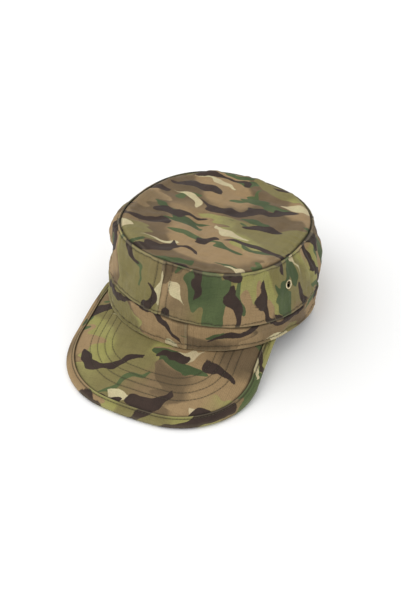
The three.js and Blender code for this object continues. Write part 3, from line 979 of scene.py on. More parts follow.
def make_crown_panel(shape):
    """The top panel, with its edge turned down inside the wall."""
    angle = np.linspace(0, 360, TOP_COLUMNS, endpoint=False)[:, None]
    reach = shape.top_reach(angle)
    edge = reach * np.concatenate([
        np.linspace(0, TOP_EDGE_SHARE, TOP_EDGE_ROWS)[:-1],
        np.linspace(TOP_EDGE_SHARE, 1, TOP_FACE_ROWS),
        np.linspace(1, TOP_MIDDLE_SHARE, TOP_BACK_ROWS),
    ])
    sheet = shape.top_face(np.broadcast_to(angle, edge.shape), edge)
    sheet[:, -TOP_BACK_ROWS:, 2] -= shape.sizes.top_thickness
    down = np.array(TOP_FLANGE)
    flange = sheet[:, :1] - np.array([0, 0, 1]) * down[:, None]
    inner_rim = sheet[:, -1:].copy()
    inner_rim[..., 2] = flange[:, :1, 2]
    points = np.concatenate([flange, sheet, inner_rim], 1)
    below = np.zeros((TOP_COLUMNS, 1))
    apart = np.concatenate([below - down, edge, below - down[0]], 1)
    flat = outward(angle)[..., :2] * (reach - apart)[..., None]
    flat = np.pad(flat, ((0, 1), (0, 1), (0, 0)), mode="wrap")
    reverse = np.arange(points.shape[1]) >= len(down) + edge.shape[1] - TOP_BACK_ROWS
    # Painted shade along the top's seam and over the whole flange turned down inside the wall
    creased = bell(apart - SHADE.top_edge, SHADE.low_edge) * ~reverse + (apart < 0)
    # Rubbed paler on the fold inside the top's edge, which also paints its highlight
    worn = 0.35 * bell(apart - SHADE.top_fold, SHADE.rub)
    piece = make_cloth("crown_panel", points, flat, worn, creased, reverse, around=True)
    join_middle(piece)
    return piece


def join_middle(piece):
    """Makes one point of the many that fall together in the middle of a round piece."""
    mesh = bmesh.new()
    mesh.from_mesh(piece.data)
    bmesh.ops.remove_doubles(mesh, verts=mesh.verts, dist=2e-6)
    mesh.to_mesh(piece.data)
    mesh.free()


def make_peak_cover(shape):
    """The peak's two cloth faces over its stiff inside."""
    sizes = shape.sizes
    lines = shape.peak_columns()
    top, top_distance, _ = shape.peak_face(lines)
    back = shape.peak_plain(lines, lines.full[:, None] * np.linspace(1, 0, PEAK_BACK_ROWS)[None])
    back_distance = shape.rim_distance(back)
    back[..., 2] -= sizes.peak_thickness * lines.pressed[:, None]
    back[..., 2] += shape.peak_furrows(back_distance)
    points = np.concatenate([top, back], 1)
    distance = np.concatenate([top_distance, back_distance], 1)
    flat = np.concatenate([top[..., :2], back[..., :2] * np.array([1, -1])], 1)
    flat = np.pad(flat, ((0, 0), (0, 1), (0, 0)), mode="wrap")
    # Painted shade along the stitched rows and at the binding's inner edge
    creased = 0.35 * sum(bell(distance - at, SHADE.peak_row) for at in shape.peak_rows())
    creased += bell(distance - sizes.binding_width, SHADE.rub)
    return make_cloth("peak_cover", points, flat, 0.0, creased, caps=end_caps(points))


def binding_profile(outer, inside):
    """The binding's cut: for each point which leg it is on, its share of the leg from the rim to
    its inner edge, its reach beyond the rim and its height over the rim's middle."""
    leg = np.linspace(0, 1, BINDING_STEPS.leg)[1:]
    inner_leg = np.linspace(0, 1, BINDING_STEPS.inner_leg)[1:]

    def arc(radius, start, end, count):
        turns = np.radians(np.linspace(start, end, count))
        return [("edge", 0.0, radius * math.cos(turn), radius * math.sin(turn)) for turn in turns]

    return [
        *(("up", share, 0.0, outer) for share in leg[::-1]),
        *arc(outer, 90, -90, BINDING_STEPS.arc),
        *(("down", share, 0.0, -outer) for share in leg),
        *(("down", share, 0.0, -inside) for share in inner_leg[::-1]),
        *arc(inside, -90, 90, BINDING_STEPS.inner_arc),
        *(("up", share, 0.0, inside) for share in inner_leg),
    ]


def make_peak_edge(shape):
    """The binding folded round the peak's rim."""
    sizes, stitching = shape.sizes, shape.stitching
    lines = shape.peak_columns()
    bound = lines.bound
    shoulder = sizes.peak_thickness / 2
    outer, inside = shape.rim_half, shoulder + sizes.gap
    profile = binding_profile(outer, inside)
    rim_top = shape.peak_plain(lines, np.zeros((PEAK_COLUMNS, 1)))[:, 0]
    groove = shape.peak_plain(lines, bound[:, None])[:, 0]
    level = rim_top[:, 2]
    points = np.zeros((PEAK_COLUMNS, len(profile), 3))
    worn, creased = np.zeros((2, PEAK_COLUMNS, len(profile)))
    for j, (leg, share, out, up) in enumerate(profile):
        inset = mix(shoulder, bound, share)
        point = rim_top + (groove - rim_top) * (inset / bound)[:, None]
        if leg == "down":
            point[:, 2] = level + np.maximum(point[:, 2] - level, 0) * smooth_share(share * 2)
        if leg == "edge":
            point = rim_top + lines.normal * (out - shoulder)
            climb = (groove[:, 2] - level) / bound * shoulder
            point[:, 2] = level + climb * max(up, 0) / outer
            # The rim's edge is rubbed paler, which also paints its highlight
            worn[:, j] = 0.5 * (1 - min(abs(up) / outer, 1) ** 2) ** 2
        elif abs(up) > inside:
            apart = (bound - inset) * sizes.binding_width / bound
            row = shape.furrow(apart - stitching.binding_inset)
            roll = BINDING.roll * bell(apart - BINDING.roll_at, BINDING.roll_wide)
            roll -= BINDING.edge_deep * bell(apart, BINDING.edge_wide)
            roll += BINDING.ripple * np.cos(2 * np.pi * lines.run / stitching.pitch) * row
            roll -= BINDING_ROW * stitching.row_depth * row
            point[:, 2] += roll * np.sign(up)
            # The ridge by the binding's inner edge is rubbed paler, which also paints its highlight
            worn[:, j] = 0.7 * bell(apart - SHADE.edge, SHADE.edge)
            # Painted shade along the binding's row and at its inner edge
            creased[:, j] = 0.6 * bell(apart - stitching.binding_inset, SHADE.edge)
            creased[:, j] += bell(apart, SHADE.binding)
        point[:, 2] += up - shoulder
        points[:, j] = point
    crest = points[..., 2].max(1, keepdims=True)
    points[..., 2] = np.maximum(crest - (crest - points[..., 2]) * lines.pressed[:, None], 0)
    steps = np.linalg.norm(np.diff(points[PEAK_COLUMNS // 2], axis=0), axis=1)
    length = np.cumsum([0, *steps, sizes.binding_thickness])
    flat = np.stack(np.meshgrid(lines.run, length, indexing="ij"), -1)
    return make_cloth("peak_edge", points, flat, worn, creased, caps=end_caps(points))


def make_eyelet(shape, name, angle):
    """A rolled brass ring on the wall's face, with its barrel and the washer behind."""
    sizes = shape.sizes
    middle, out = wall_seat(shape, angle)
    starts = {"flange": sizes.eyelet_flange, "bore": sizes.eyelet_bore, "seat": EYELET.seat,
              "back": -sizes.wall_thickness - EYELET.washer}
    roll = (sizes.eyelet_flange - sizes.eyelet_bore) / 2
    arc = np.radians(np.linspace(*EYELET_ARC, EYELET_STEPS.arc))
    profile = [(sizes.eyelet_bore + roll * (1 + math.cos(turn)),
                EYELET.seat + roll * EYELET_ROLL_FLAT * math.sin(turn)) for turn in arc]
    for part in EYELET_PARTS:
        profile.append((starts[part.side] + part.out * MM, starts[part.level] + part.up * MM))
    turn = np.linspace(0, 2 * np.pi, EYELET_STEPS.turn, endpoint=False)
    radius, height = np.array(profile).T
    ring = np.stack([np.cos(turn)[:, None] * radius, np.sin(turn)[:, None] * radius,
                     np.broadcast_to(height, (len(turn), len(height)))], -1)
    stand = np.array(Vector((0, 0, 1)).rotation_difference(out).to_matrix())
    flat = np.zeros((len(turn) + 1, len(profile) + 1, 2))
    return make_piece(name, ring @ stand.T + np.array(middle), flat, {}, around=True)


# Stitching

def peak_row_paths(shape):
    """Rows of stitches at even distances inside the peak's rim, on both of its faces."""
    lines = shape.peak_columns()
    face, distance, inset = shape.peak_face(lines)
    through = np.array([0, 0, shape.sizes.peak_thickness - PEAK_STITCHES.under])
    paths = []
    for at in shape.peak_rows():
        upper = []
        for i in range(PEAK_COLUMNS):
            reach = inset[i] < lines.span[i] + PEAK_STITCHES.past
            if distance[i][reach].max(initial=0) > at:
                k = int(np.argmax(distance[i] >= at))
                share = (at - distance[i, k - 1]) / (distance[i, k] - distance[i, k - 1])
                upper.append(mix(face[i, k - 1], face[i, k], share))
        upper = np.array(upper)
        up = np.broadcast_to(PEAK_UP, upper.shape)
        paths += [(upper, up), (upper - through, -up)]
    return paths


def binding_row_paths(shape):
    lines = shape.peak_columns()
    sizes, stitching = shape.sizes, shape.stitching
    inset = lines.bound * (1 - stitching.binding_inset / sizes.binding_width)
    plain = shape.peak_plain(lines, inset[:, None])[BINDING_STITCH_ENDS:-BINDING_STITCH_ENDS, 0]
    up = np.broadcast_to(PEAK_UP, plain.shape)
    skin = shape.skin - BINDING_ROW * stitching.row_depth
    return [(plain + np.array([0, 0, skin]), up),
            (plain - np.array([0, 0, sizes.peak_thickness + skin]), -up)]


def stitch_tree():
    """Nodes that lay stitches along the paths of a wire mesh, standing on the cloth."""
    tree = bpy.data.node_groups.new("stitch_rows", "GeometryNodeTree")
    for way, kind, *names in (
            ("INPUT", "Geometry", "Paths"),
            ("INPUT", "Float", "Pitch", "Stitch length", "Thread radius", "Rise"),
            ("INPUT", "Int", "Seed"),
            ("INPUT", "Material", "Thread"),
            ("OUTPUT", "Geometry", "Stitches")):
        for name in names:
            tree.interface.new_socket(name, in_out=way, socket_type="NodeSocket" + kind)

    def node(kind, values=None, **settings):
        made = tree.nodes.new(kind)
        for key, value in settings.items():
            setattr(made, key, value)
        for key, value in (values or {}).items():
            if isinstance(value, bpy.types.NodeSocket):
                tree.links.new(value, made.inputs[key])
            else:
                made.inputs[key].default_value = value
        return made.outputs

    def times(value, factor):
        return node("ShaderNodeMath", {0: value, 1: factor}, operation="MULTIPLY")[0]

    given = node("NodeGroupInput")
    curve = node("GeometryNodeMeshToCurve", {"Mesh": given["Paths"]})[0]
    spaced = node("GeometryNodeResampleCurve", {"Curve": curve, "Length": given["Pitch"]},
                  mode="LENGTH")[0]
    half = times(given["Stitch length"], 0.5)
    sunk = times(given["Thread radius"], THREAD_SUNK)
    start = node("ShaderNodeCombineXYZ", {"X": times(half, -1.0), "Z": sunk})[0]
    middle = node("ShaderNodeCombineXYZ", {"Z": given["Rise"]})[0]
    end = node("ShaderNodeCombineXYZ", {"X": half, "Z": sunk})[0]
    bow = node("GeometryNodeCurveQuadraticBezier",
               {"Resolution": 5, "Start": start, "Middle": middle, "End": end})[0]
    ring = node("GeometryNodeCurvePrimitiveCircle",
                {"Resolution": 6, "Radius": given["Thread radius"]}, mode="RADIUS")[0]
    thread = node("GeometryNodeCurveToMesh",
                  {"Curve": bow, "Profile Curve": ring, "Fill Caps": True})[0]
    along = node("GeometryNodeInputTangent")[0]
    facing = node("GeometryNodeInputNamedAttribute", {"Name": "facing"}, data_type="FLOAT_VECTOR")
    turned = node("FunctionNodeAlignRotationToVector", {"Vector": along}, axis="X")[0]
    stood = node("FunctionNodeAlignRotationToVector",
                 {"Rotation": turned, "Vector": facing["Attribute"]}, axis="Z", pivot_axis="X")[0]
    spread = node("FunctionNodeRandomValue",
                  {"Min": STITCH_SPREAD[0], "Max": STITCH_SPREAD[1], "Seed": given["Seed"]},
                  data_type="FLOAT_VECTOR")["Value"]
    placed = node("GeometryNodeInstanceOnPoints", {
        "Points": spaced, "Instance": thread, "Rotation": stood, "Scale": spread})[0]
    real = node("GeometryNodeRealizeInstances", {"Geometry": placed})[0]
    smooth = node("GeometryNodeSetShadeSmooth", {"Geometry": real, "Shade Smooth": True})[0]
    dyed = node("GeometryNodeSetMaterial", {"Geometry": smooth, "Material": given["Thread"]})[0]
    node("NodeGroupOutput", {"Stitches": dyed})
    return tree


def sew(name, paths, stitching, material, seed):
    """Lays stitches along paths, each a run of points with the cloth's outward direction there."""
    points = np.concatenate([path for path, _ in paths])
    facing = np.concatenate([way for _, way in paths])
    edges = []
    first = 0
    for path, _ in paths:
        edges += [(first + i, first + i + 1) for i in range(len(path) - 1)]
        first += len(path)
    mesh = bpy.data.meshes.new(name)
    mesh.from_pydata(points.tolist(), edges, [])
    attribute = mesh.attributes.new("facing", "FLOAT_VECTOR", "POINT")
    attribute.data.foreach_set("vector", facing.astype(np.float32).ravel())
    piece = bpy.data.objects.new(name, mesh)
    bpy.context.scene.collection.objects.link(piece)
    tree = bpy.data.node_groups.get("stitch_rows") or stitch_tree()
    modifier = piece.modifiers.new("stitches", "NODES")
    modifier.node_group = tree
    values = {"Pitch": stitching.pitch, "Stitch length": stitching.stitch_length,
              "Thread radius": stitching.thread_radius, "Seed": seed, "Thread": material,
              "Rise": stitching.thread_radius * THREAD_RISE}
    for item in tree.interface.items_tree:
        if item.name in values:
            modifier[item.identifier] = values[item.name]
    finished = piece.evaluated_get(bpy.context.evaluated_depsgraph_get())
    sewn = bpy.data.meshes.new_from_object(finished)
    piece.modifiers.clear()
    piece.data = sewn
    sewn.name = name
    return piece


# Materials

class Value:
    """A shader socket that can be used in sums. Each sum on it adds its Math node."""

    def __init__(self, nodes, socket):
        self.nodes = nodes
        self.socket = socket

    def maths(self, operation, *values):
        return self.nodes.add("ShaderNodeMath", {"operation": operation}, dict(enumerate(values)))

    def __add__(self, other):
        return self.maths("ADD", self, other)

    def __sub__(self, other):
        return self.maths("SUBTRACT", self, other)

    def __rsub__(self, other):
        return self.maths("SUBTRACT", other, self)

    def __mul__(self, other):
        return self.maths("MULTIPLY", self, other)

    __radd__ = __add__
    __rmul__ = __mul__

    def waved(self, pitch):
        return self.maths("SINE", self * (2 * math.pi / pitch))

    def above(self, low, high):
        """0 below low, 1 above high and a smooth rise between."""
        settings = {"interpolation_type": "SMOOTHSTEP"}
        return self.nodes.add("ShaderNodeMapRange", settings, {0: self, 1: low, 2: high})


class Surface:
    """A material's nodes, added one at a time."""

    def __init__(self, name):
        self.material = bpy.data.materials.new(name)
        self.material.use_nodes = True
        self.tree = self.material.node_tree
        self.shader = self.tree.nodes["Principled BSDF"]

    def add(self, kind, settings=None, values=None, output=0):
        made = self.tree.nodes.new(kind)
        for key, value in (settings or {}).items():
            setattr(made, key, value)
        for key, value in (values or {}).items():
            self.feed(made.inputs[key], value)
        return Value(self, made.outputs[output])

    def feed(self, socket, value):
        if isinstance(value, Value):
            self.tree.links.new(value.socket, socket)
        else:
            socket.default_value = value

    def finish(self, height=None, strength=0.0, depth=0.0, **values):
        """Sets the shader's inputs and gives the material, with bumps if a height is given."""
        if height:
            bump = {"Height": height, "Strength": strength, "Distance": depth}
            values["Normal"] = self.add("ShaderNodeBump", None, bump)
        for key, value in values.items():
            self.feed(self.shader.inputs[key.replace("_", " ")], value)
        return self.material

    def attribute(self, name):
        return self.add("ShaderNodeAttribute", {"attribute_name": name}, output=2)

    def place(self):
        return self.add("ShaderNodeTexCoord", output=3)

    def mix(self, share, low, high):
        ends = [end if isinstance(end, Value) else (*end[:3], 1) for end in (low, high)]
        values = {0: share, 6: ends[0], 7: ends[1]}
        return self.add("ShaderNodeMix", {"data_type": "RGBA"}, values, 2)

    def tint(self, colour, amount):
        """A colour made lighter or darker by a factor."""
        grey = self.add("ShaderNodeCombineXYZ", None, {0: amount, 1: amount, 2: amount})
        return self.add("ShaderNodeVectorMath", {"operation": "MULTIPLY"}, {0: colour, 1: grey})

    def noise(self, place, scale, detail=2.0):
        values = {"Vector": place, "Scale": scale, "Detail": detail}
        return self.add("ShaderNodeTexNoise", None, values)


def weave(surface, cloth, pitch, ripstop):
    """Height of the woven threads, the ribs and the thicker ripstop threads, from cloth places."""
    parts = surface.tree.nodes.new("ShaderNodeSeparateXYZ")
    surface.feed(parts.inputs[0], cloth)
    across, along = (Value(surface, parts.outputs[k]) for k in range(2))
    grid = [way.waved(ripstop).above(0.955, 0.995) for way in (across, along)]
    threads = across.waved(pitch) * along.waved(pitch)
    return threads, across.waved(2 * pitch), grid[0].maths("MAXIMUM", *grid)


def printed_cloth(name, cloth_sizes, colours):
    """Camouflage printed on ripstop cotton, paler on its back, rubbed paler at its folds with a
    painted highlight there, and with painted shade in its creases.
    """
    surface = Surface(name)
    cloth = surface.add("ShaderNodeUVMap", {"uv_map": "cloth"})
    ragged = (surface.noise(cloth, 1 / cloth_sizes.edge_grain) - 0.5) * cloth_sizes.edge_wander
    soft = cloth_sizes.edge_soft
    layer = surface.attribute

    def shape(name):
        return (layer(name) + ragged).above(-soft, soft)

    def drift(name):
        """A colour that drifts into its paler neighbour."""
        share = surface.noise(cloth, COLOUR_DRIFT[name]).above(0.2, 0.8)
        return surface.mix(share, getattr(colours, name), getattr(colours, name + "_pale"))

    fade = layer("fade")
    printed = surface.mix(layer("warm"), drift("olive"), drift("tan"))
    printed = surface.mix((1 - fade).above(0.4, 1.0) * 0.55, printed, colours.brown)
    shadow = surface.mix(fade.above(0.3, 1.0), drift("brown"), colours.tan)
    leaf = surface.mix(layer("tone"), colours.green, colours.green_pale)
    layers = {"brown": shadow, "green": leaf, "cream": drift("cream"), "dark": drift("dark")}
    for name, ink in layers.items():
        printed = surface.mix(shape(name), printed, ink)
    printed = surface.mix(layer("reverse") * 0.55, printed, colours.back)

    pitches = cloth_sizes.thread_pitch, cloth_sizes.ripstop_pitch
    threads, ribs, ripstop = weave(surface, cloth, *pitches)
    fibres = surface.noise(cloth, 1 / cloth_sizes.fibre, 3.0)
    slubs = surface.noise(cloth, 1 / cloth_sizes.slub)
    grain = 1 + (fibres - 0.5) * 0.5 + (slubs - 0.5) * 0.22
    grain = grain + threads * 0.05 + ribs * 0.05 - ripstop * 0.09
    # Rubbed folds and ridges turn paler, which also paints their highlight
    rubbed = layer("worn") * (0.35 + slubs * 0.9) * cloth_sizes.wear
    printed = surface.mix(rubbed, surface.tint(printed, grain), colours.worn)
    # Painted shade: darkens the colour in creases, along stitched rows, at edges and under the wall
    shaded = surface.tint(printed, 1 - layer("creased") * cloth_sizes.crease_shade)
    height = threads * 0.35 + ribs * 0.25 + ripstop * 0.6 + fibres * 0.8 + slubs * 0.7
    return surface.finish(height, 0.55, cloth_sizes.relief, Base_Color=shaded,
                          Roughness=0.86 + (fibres - 0.5) * 0.14, Sheen_Weight=0.05,
                          Sheen_Roughness=0.5, Specular_IOR_Level=0.18)


def sewing_thread(colours):
    surface = Surface("sewing_thread")
    fuzz = surface.noise(surface.place(), THREAD_GRAIN.fuzz, 3.0)
    twist = surface.noise(surface.place(), THREAD_GRAIN.twist, 1.0)
    dyed = surface.mix(fuzz, colours.thread, colours.thread_pale)
    shaded = surface.tint(dyed, 0.85 + twist * 0.3)
    return surface.finish(twist, 0.5, FINE_BUMP, Base_Color=shaded, Roughness=0.7 + fuzz * 0.2)


def worn_brass(colours):
    surface = Surface("worn_brass")
    patches = surface.noise(surface.place(), BRASS_GRAIN.patches, 4.0).above(0.42, 0.66)
    scratches = surface.noise(surface.place(), BRASS_GRAIN.scratches)
    return surface.finish(scratches, 0.25, FINE_BUMP, Metallic=1.0,
                          Base_Color=surface.mix(patches, colours.brass, colours.brass_dull),
                          Roughness=0.22 + patches * 0.25 + scratches * 0.1)


def plain_stage(colour):
    surface = Surface("plain_stage")
    uneven = 0.985 + surface.noise(surface.place(), STAGE_GRAIN) * 0.03
    return surface.finish(Base_Color=surface.tint(tuple(colour), uneven), Roughness=0.9)


def material_of(name, build, *inputs):
    return bpy.data.materials.get(name) or build(*inputs)


# What a user would change

def length(name, value, text=""):
    return FloatProperty(name=name, description=text, default=value, unit="LENGTH", precision=4)


def number(name, value, text="", **ways):
    return FloatProperty(name=name, description=text, default=value, **ways)


def colour(name, *value):
    return FloatVectorProperty(name=name, default=value, subtype="COLOR", size=3, min=0, max=1)


class CapSizes(PropertyGroup):
    """Sizes of the cap's pieces"""

    top_front: length("Top, front half", 0.0978, "From the top edge's middle to its front")
    top_back: length("Top, back half", 0.1005, "From the top edge's middle to its back")
    top_half_width: length("Top, half width", 0.0754)
    seam_front: length("Seam, front half", 0.101, "Over the band, from the middle to the front")
    seam_back: length("Seam, back half", 0.098, "Over the band, from the middle to the back")
    seam_half_width: length("Seam, half width", 0.0886)
    wall_height: length("Wall height", 0.051, "From the seam to the top edge")
    hem_front: length("Hem, front half", 0.0957, "From the middle to the front of the hem")
    hem_back: length("Hem, back half", 0.09, "From the middle to the back of the hem")
    hem_half_width: length("Hem, half width", 0.0889)
    band_height: length("Band height", 0.0215, "From the hem to the seam")
    hem_press: length("Hem press", 0.003, "How far the table presses the hem up at the back")
    hem_side_rise: length("Hem side rise", 0.003, "How far the hem is drawn up at the sides")
    seam_back_lift: length("Seam lift", 0.004, "How far the seam rides up at the back")
    top_thickness: length("Top thickness", 0.0014)
    wall_thickness: length("Wall thickness", 0.0016)
    band_thickness: length("Band thickness", 0.002)
    gap: length("Gap", 0.0003, "Clearance between pieces")
    lap_width: length("Lap width", 0.013, "Width of cloth that a lapped joint doubles")
    lap_height: length("Lap height", 0.0009, "Thickness that a lapped joint adds")
    peak_half_width: length("Peak half width", 0.0834)
    peak_reach: length("Peak reach", 0.0658, "From the hem to the front of the peak")
    peak_drop: length("Peak drop", 0.024, "Height of the hem's front over the rim")
    peak_lift_width: length("Peak lift width", 0.046, "Width below which the peak's rim climbs")
    peak_corner: length("Peak corner radius", 0.0664)
    peak_front: length("Peak front radius", 0.245)
    peak_tuck: length("Peak tuck", 0.01, "How far the peak reaches in under the band")
    peak_thickness: length("Peak thickness", 0.0028)
    binding_width: length("Binding width", 0.006, "Width of the binding on the peak's face")
    binding_thickness: length("Binding thickness", 0.0009)
    eyelet_hole: length("Eyelet hole", 0.003, "Radius of the hole through the wall")
    eyelet_bore: length("Eyelet bore", 0.0027, "Radius of the eyelet's own opening")
    eyelet_flange: length("Eyelet flange", 0.004, "Outer radius of the eyelet")
    eyelet_height: number("Eyelet height", 0.57, "Share of the wall's height")
    eyelet_turn: number("Eyelet angle", math.radians(68.5), "From the front", subtype="ANGLE")
    peak_arch: number("Peak arch", 0.35, "How far the peak bows up")
    peak_lift_ease: number("Peak lift ease", 1.4, "How late the rim climbs towards its ends")


class CapStitching(PropertyGroup):
    """Stitches and the rows that they lie in"""

    pitch: length("Pitch", 0.0029, "From one stitch to the next")
    stitch_length: length("Stitch length", 0.0024)
    thread_radius: length("Thread radius", 0.00025)
    row_depth: length("Row depth", 0.00042, "How deep a row of stitches draws the cloth in")
    row_width: length("Row width", 0.00075, "Half the width of the furrow along a row")
    seam_inset: length("Seam inset", 0.0025, "From the wall's edges to their rows")
    hem_inset: length("Hem inset", 0.0038, "From the hem to its row")
    lap_inset: length("Lap inset", 0.0055, "From a lapped edge to the rows on both sides")
    binding_inset: length("Binding inset", 0.0022, "From the binding's inner edge to its row")
    peak_first: length("First peak row", 0.0195, "From the rim to the peak's outermost row")
    peak_spacing: length("Peak row spacing", 0.0063)
    peak_rows: IntProperty(name="Peak rows", default=4, min=0)


class CapCloth(PropertyGroup):
    """The printed cloth's own sizes"""

    thread_pitch: length("Thread pitch", 0.0007, "From one woven thread to the next")
    ripstop_pitch: length("Ripstop pitch", 0.0056, "From one thick thread to the next")
    fibre: length("Fibre size", 0.0011, "Size of the cloth's finest speckle")
    slub: length("Slub size", 1 / 150, "Size of the cloth's thick and thin places")
    relief: length("Relief", 0.00022, "Height of the weave")
    edge_grain: length("Edge grain", 0.0012, "Size of the roughness along printed edges")
    edge_wander: length("Edge wander", 0.0007, "How far printed edges wander")
    edge_soft: length("Edge softness", 0.00022, "Half the width of a printed edge's fading")
    # Wear also sets how strongly the highlight is painted on the rubbed ridges
    wear: number("Wear", 0.26, "How pale the folds are rubbed", min=0, max=1,
                 subtype="FACTOR")
    # Strength of the shade painted into creases, stitched rows and edges
    crease_shade: number("Crease shade", 0.72, "How dark the creases are", min=0, max=1,
                         subtype="FACTOR")


class CapColours(PropertyGroup):
    """Colours of the print, the thread and the metal"""

    olive: colour("Olive ground", 0.268, 0.254, 0.076)
    olive_pale: colour("Paler olive", 0.294, 0.272, 0.102)
    tan: colour("Tan ground", 0.300, 0.204, 0.102)
    tan_pale: colour("Paler tan", 0.336, 0.236, 0.124)
    brown: colour("Brown shapes", 0.120, 0.084, 0.044)
    brown_pale: colour("Paler brown", 0.160, 0.110, 0.060)
    green: colour("Green shapes", 0.060, 0.084, 0.034)
    green_pale: colour("Paler green", 0.086, 0.114, 0.046)
    cream: colour("Cream strokes", 0.520, 0.475, 0.275)
    cream_pale: colour("Warmer cream", 0.500, 0.405, 0.245)
    dark: colour("Dark strokes", 0.036, 0.024, 0.019)
    dark_pale: colour("Paler dark", 0.052, 0.034, 0.026)
    # Also the colour of the highlight painted on the rubbed ridges
    worn: colour("Rubbed cloth", 0.42, 0.37, 0.22)
    back: colour("Back of the cloth", 0.34, 0.31, 0.19)
    thread: colour("Sewing thread", 0.036, 0.028, 0.013)
    thread_pale: colour("Paler thread", 0.075, 0.060, 0.030)
    brass: colour("Brass", 0.72, 0.62, 0.40)
    brass_dull: colour("Dull brass", 0.42, 0.34, 0.20)


class CapStage(PropertyGroup):
    """The floor, the lights and the camera"""

    floor: colour("Floor", 0.93, 0.93, 0.925)
    key: number("Key light", 12.0, "Large light over the cap", unit="POWER")
    fill: number("Fill light", 3.0, "Light from the front", unit="POWER")
    sky: number("Sky", 0.9, "Even light from all round")
    azimuth: number("Azimuth", math.radians(25.5), "Camera's way round the cap", subtype="ANGLE")
    elevation: number("Elevation", math.radians(38.3), "Camera's height", subtype="ANGLE")
    distance: length("Distance", 1.0725, "From the camera to the middle of the seam")
    seam_level: length("Seam level", 0.0354, "Height of the middle of the seam")
    focal: number("Focal length", 1224.0, "In pixels of the picture", subtype="PIXEL")
    centre_x: number("Seam middle, across", 215.0, "From the picture's left", subtype="PIXEL")
    centre_y: number("Seam middle, down", 268.3, "From the picture's top", subtype="PIXEL")


# Operators

def cap_shape():
    scene = bpy.context.scene
    return CapShape(scene.cap_sizes, scene.cap_stitching)


def finish_cloth(piece, node, part):
    """Gives a piece of cloth the print's material of its part of the cap, and hides the solid that
    it covers.
    """
    scene = bpy.context.scene
    name = part + "_print"
    material = material_of(name, printed_cloth, name, scene.cap_cloth, scene.cap_colours)
    finish_piece(piece, [node], part + "_cloth", material)


class CAP_OT_top_panel(Operator):
    """Cut the top panel and turn its edge down inside the wall"""

    bl_idname = "cap.top_panel"
    bl_label = "Top panel"

    def execute(self, context):
        finish_cloth(make_crown_panel(cap_shape()), "crown_top", "crown")
        return {"FINISHED"}


class CAP_OT_wall(Operator):
    """Fold the crown's wall, lap its front seam and punch its eyelet holes"""

    bl_idname = "cap.wall"
    bl_label = "Wall"

    def execute(self, context):
        finish_cloth(make_crown_side(cap_shape()), "crown_wall", "crown")
        return {"FINISHED"}


class CAP_OT_band(Operator):
    """Fold the band under the wall"""

    bl_idname = "cap.band"
    bl_label = "Band"

    def execute(self, context):
        finish_cloth(make_hat_band(cap_shape()), "band", "band")
        return {"FINISHED"}


class CAP_OT_peak(Operator):
    """Cover the peak and bind its rim"""

    bl_idname = "cap.peak"
    bl_label = "Peak"

    def execute(self, context):
        finish_cloth(make_peak_cover(cap_shape()), "peak", "peak")
        finish_cloth(make_peak_edge(cap_shape()), "peak_binding", "binding")
        return {"FINISHED"}


class CAP_OT_eyelets(Operator):
    """Set a brass eyelet in each side of the wall"""

    bl_idname = "cap.eyelets"
    bl_label = "Eyelets"

    def execute(self, context):
        shape = cap_shape()
        brass = material_of("worn_brass", worn_brass, context.scene.cap_colours)
        turn = math.degrees(shape.sizes.eyelet_turn)
        for side, angle in (("left", turn), ("right", -turn)):
            ring = make_eyelet(shape, "brass_ring_" + side, angle)
            finish_piece(ring, ["eyelet_" + side], "eyelet_metal", brass)
        return {"FINISHED"}


class CAP_OT_stitches(Operator):
    """Sew the rows of stitches"""

    bl_idname = "cap.stitches"
    bl_label = "Stitches"

    def execute(self, context):
        shape = cap_shape()
        stitching, wall = shape.stitching, shape.wall
        thread = material_of("sewing_thread", sewing_thread, context.scene.cap_colours)
        groups = {
            "crown": ("crown", [wall.level_row(wall.tall - stitching.seam_inset),
                                wall.level_row(stitching.seam_inset),
                                *wall.joint_rows(stitching.lap_inset)]),
            "hem": ("band", [shape.band.level_row(stitching.hem_inset)]),
            "peak": ("peak", peak_row_paths(shape)),
            "binding": ("binding", binding_row_paths(shape)),
        }
        for seed, (name, (part, paths)) in enumerate(groups.items()):
            piece = sew(name + "_stitches", paths, stitching, thread, seed)
            finish_piece(piece, [], part + "_cloth", thread)
        return {"FINISHED"}


class CAP_OT_stage(Operator):
    """Lay the floor and set up the lights and the camera"""

    bl_idname = "cap.stage"
    bl_label = "Stage"

    def execute(self, context):
        stage = context.scene.cap_stage
        lay_floor(stage)
        light_stage(stage)
        set_camera(stage)
        return {"FINISHED"}


def lay_floor(stage):
    half, low = FLOOR_HALF, FLOOR_LEVEL
    mesh = bpy.data.meshes.new("floor")
    corners = [(-half, -half, low), (half, -half, low), (half, half, low), (-half, half, low)]
    mesh.from_pydata(corners, [], [(0, 1, 2, 3)])
    floor = bpy.data.objects.new("floor", mesh)
    floor.data.materials.append(plain_stage(stage.floor))
    bpy.context.scene.collection.objects.link(floor)


def soft_light(name, place, size, power):
    light = bpy.data.lights.new(name, "AREA")
    light.shape = "DISK"
    light.size = size
    light.energy = power
    lamp = bpy.data.objects.new(name, light)
    lamp.location = place
    lamp.rotation_euler = (LIT_MIDDLE - Vector(place)).to_track_quat("-Z", "Y").to_euler()
    bpy.context.scene.collection.objects.link(lamp)


def light_stage(stage):
    for light in LIGHTS:
        soft_light(light.name + "_light", light.place, light.size, getattr(stage, light.name))
    world = bpy.data.worlds.new("pale_sky")
    world.use_nodes = True
    sky = world.node_tree.nodes["Background"]
    sky.inputs["Color"].default_value = (1, 1, 1, 1)
    sky.inputs["Strength"].default_value = stage.sky
    bpy.context.scene.world = world
    bpy.context.scene.view_settings.view_transform = "Standard"


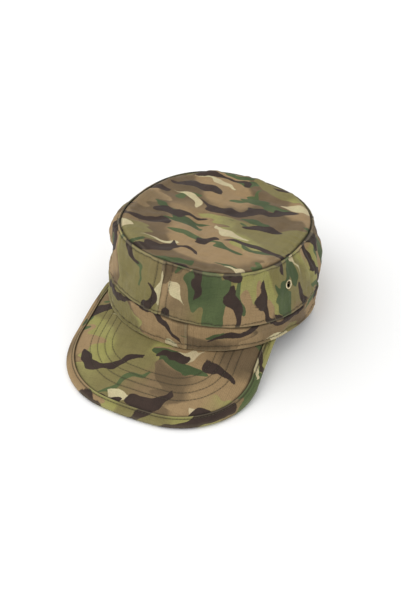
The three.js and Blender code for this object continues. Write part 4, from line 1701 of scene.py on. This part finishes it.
def set_camera(stage):
    """Turns the camera so that the seam's middle shows where it does in the picture."""
    middle = cap_shape().place
    target = Vector((middle[0], middle[1], stage.seam_level))
    sine, cosine = math.sin(stage.azimuth), math.cos(stage.azimuth)
    level, rise = math.cos(stage.elevation), math.sin(stage.elevation)
    back = Vector((sine * level, -cosine * level, rise))
    right = Vector((cosine, sine, 0))
    up = back.cross(right)
    across = (PICTURE[0] / 2 - stage.centre_x) / stage.focal
    down = (PICTURE[1] / 2 - stage.centre_y) / stage.focal
    ahead = (right * across - up * down - back).normalized()
    side = ahead.cross(up).normalized()
    lens = bpy.data.cameras.new("camera")
    lens.sensor_width = SENSOR
    lens.lens = stage.focal * SENSOR / max(PICTURE)
    lens.clip_end = CLIP_END
    camera = bpy.data.objects.new("camera", lens)
    turn = Matrix((side, side.cross(ahead), -ahead)).transposed().to_4x4()
    camera.matrix_world = Matrix.Translation(target + back * stage.distance) @ turn
    bpy.context.scene.collection.objects.link(camera)
    bpy.context.scene.camera = camera


class CAP_PT_panel(Panel):
    """Lists the steps that make the cap"""

    bl_idname = "CAP_PT_panel"
    bl_label = "Patrol cap"
    bl_space_type = "VIEW_3D"
    bl_region_type = "UI"
    bl_category = "Patrol cap"

    def draw(self, context):
        for step in STEPS:
            self.layout.operator(step.bl_idname)
        for group in GROUPS:
            values = getattr(context.scene, group)
            box = self.layout.box()
            for key in values.__annotations__:
                box.prop(values, key)


GROUPS = {"cap_sizes": CapSizes, "cap_stitching": CapStitching, "cap_cloth": CapCloth,
          "cap_colours": CapColours, "cap_stage": CapStage}
STEPS = (CAP_OT_top_panel, CAP_OT_wall, CAP_OT_band, CAP_OT_peak, CAP_OT_eyelets, CAP_OT_stitches,
         CAP_OT_stage)


def register():
    for made in (*GROUPS.values(), *STEPS, CAP_PT_panel):
        bpy.utils.register_class(made)
    for name, group in GROUPS.items():
        setattr(bpy.types.Scene, name, PointerProperty(type=group))


def unregister():
    for name in GROUPS:
        delattr(bpy.types.Scene, name)
    for made in (*GROUPS.values(), *STEPS, CAP_PT_panel):
        bpy.utils.unregister_class(made)


def main():
    register()
    bpy.ops.cap.top_panel()
    bpy.ops.cap.wall()
    bpy.ops.cap.band()
    bpy.ops.cap.peak()
    bpy.ops.cap.eyelets()
    bpy.ops.cap.stitches()
    bpy.ops.cap.stage()


if __name__ == "__main__":
    main()
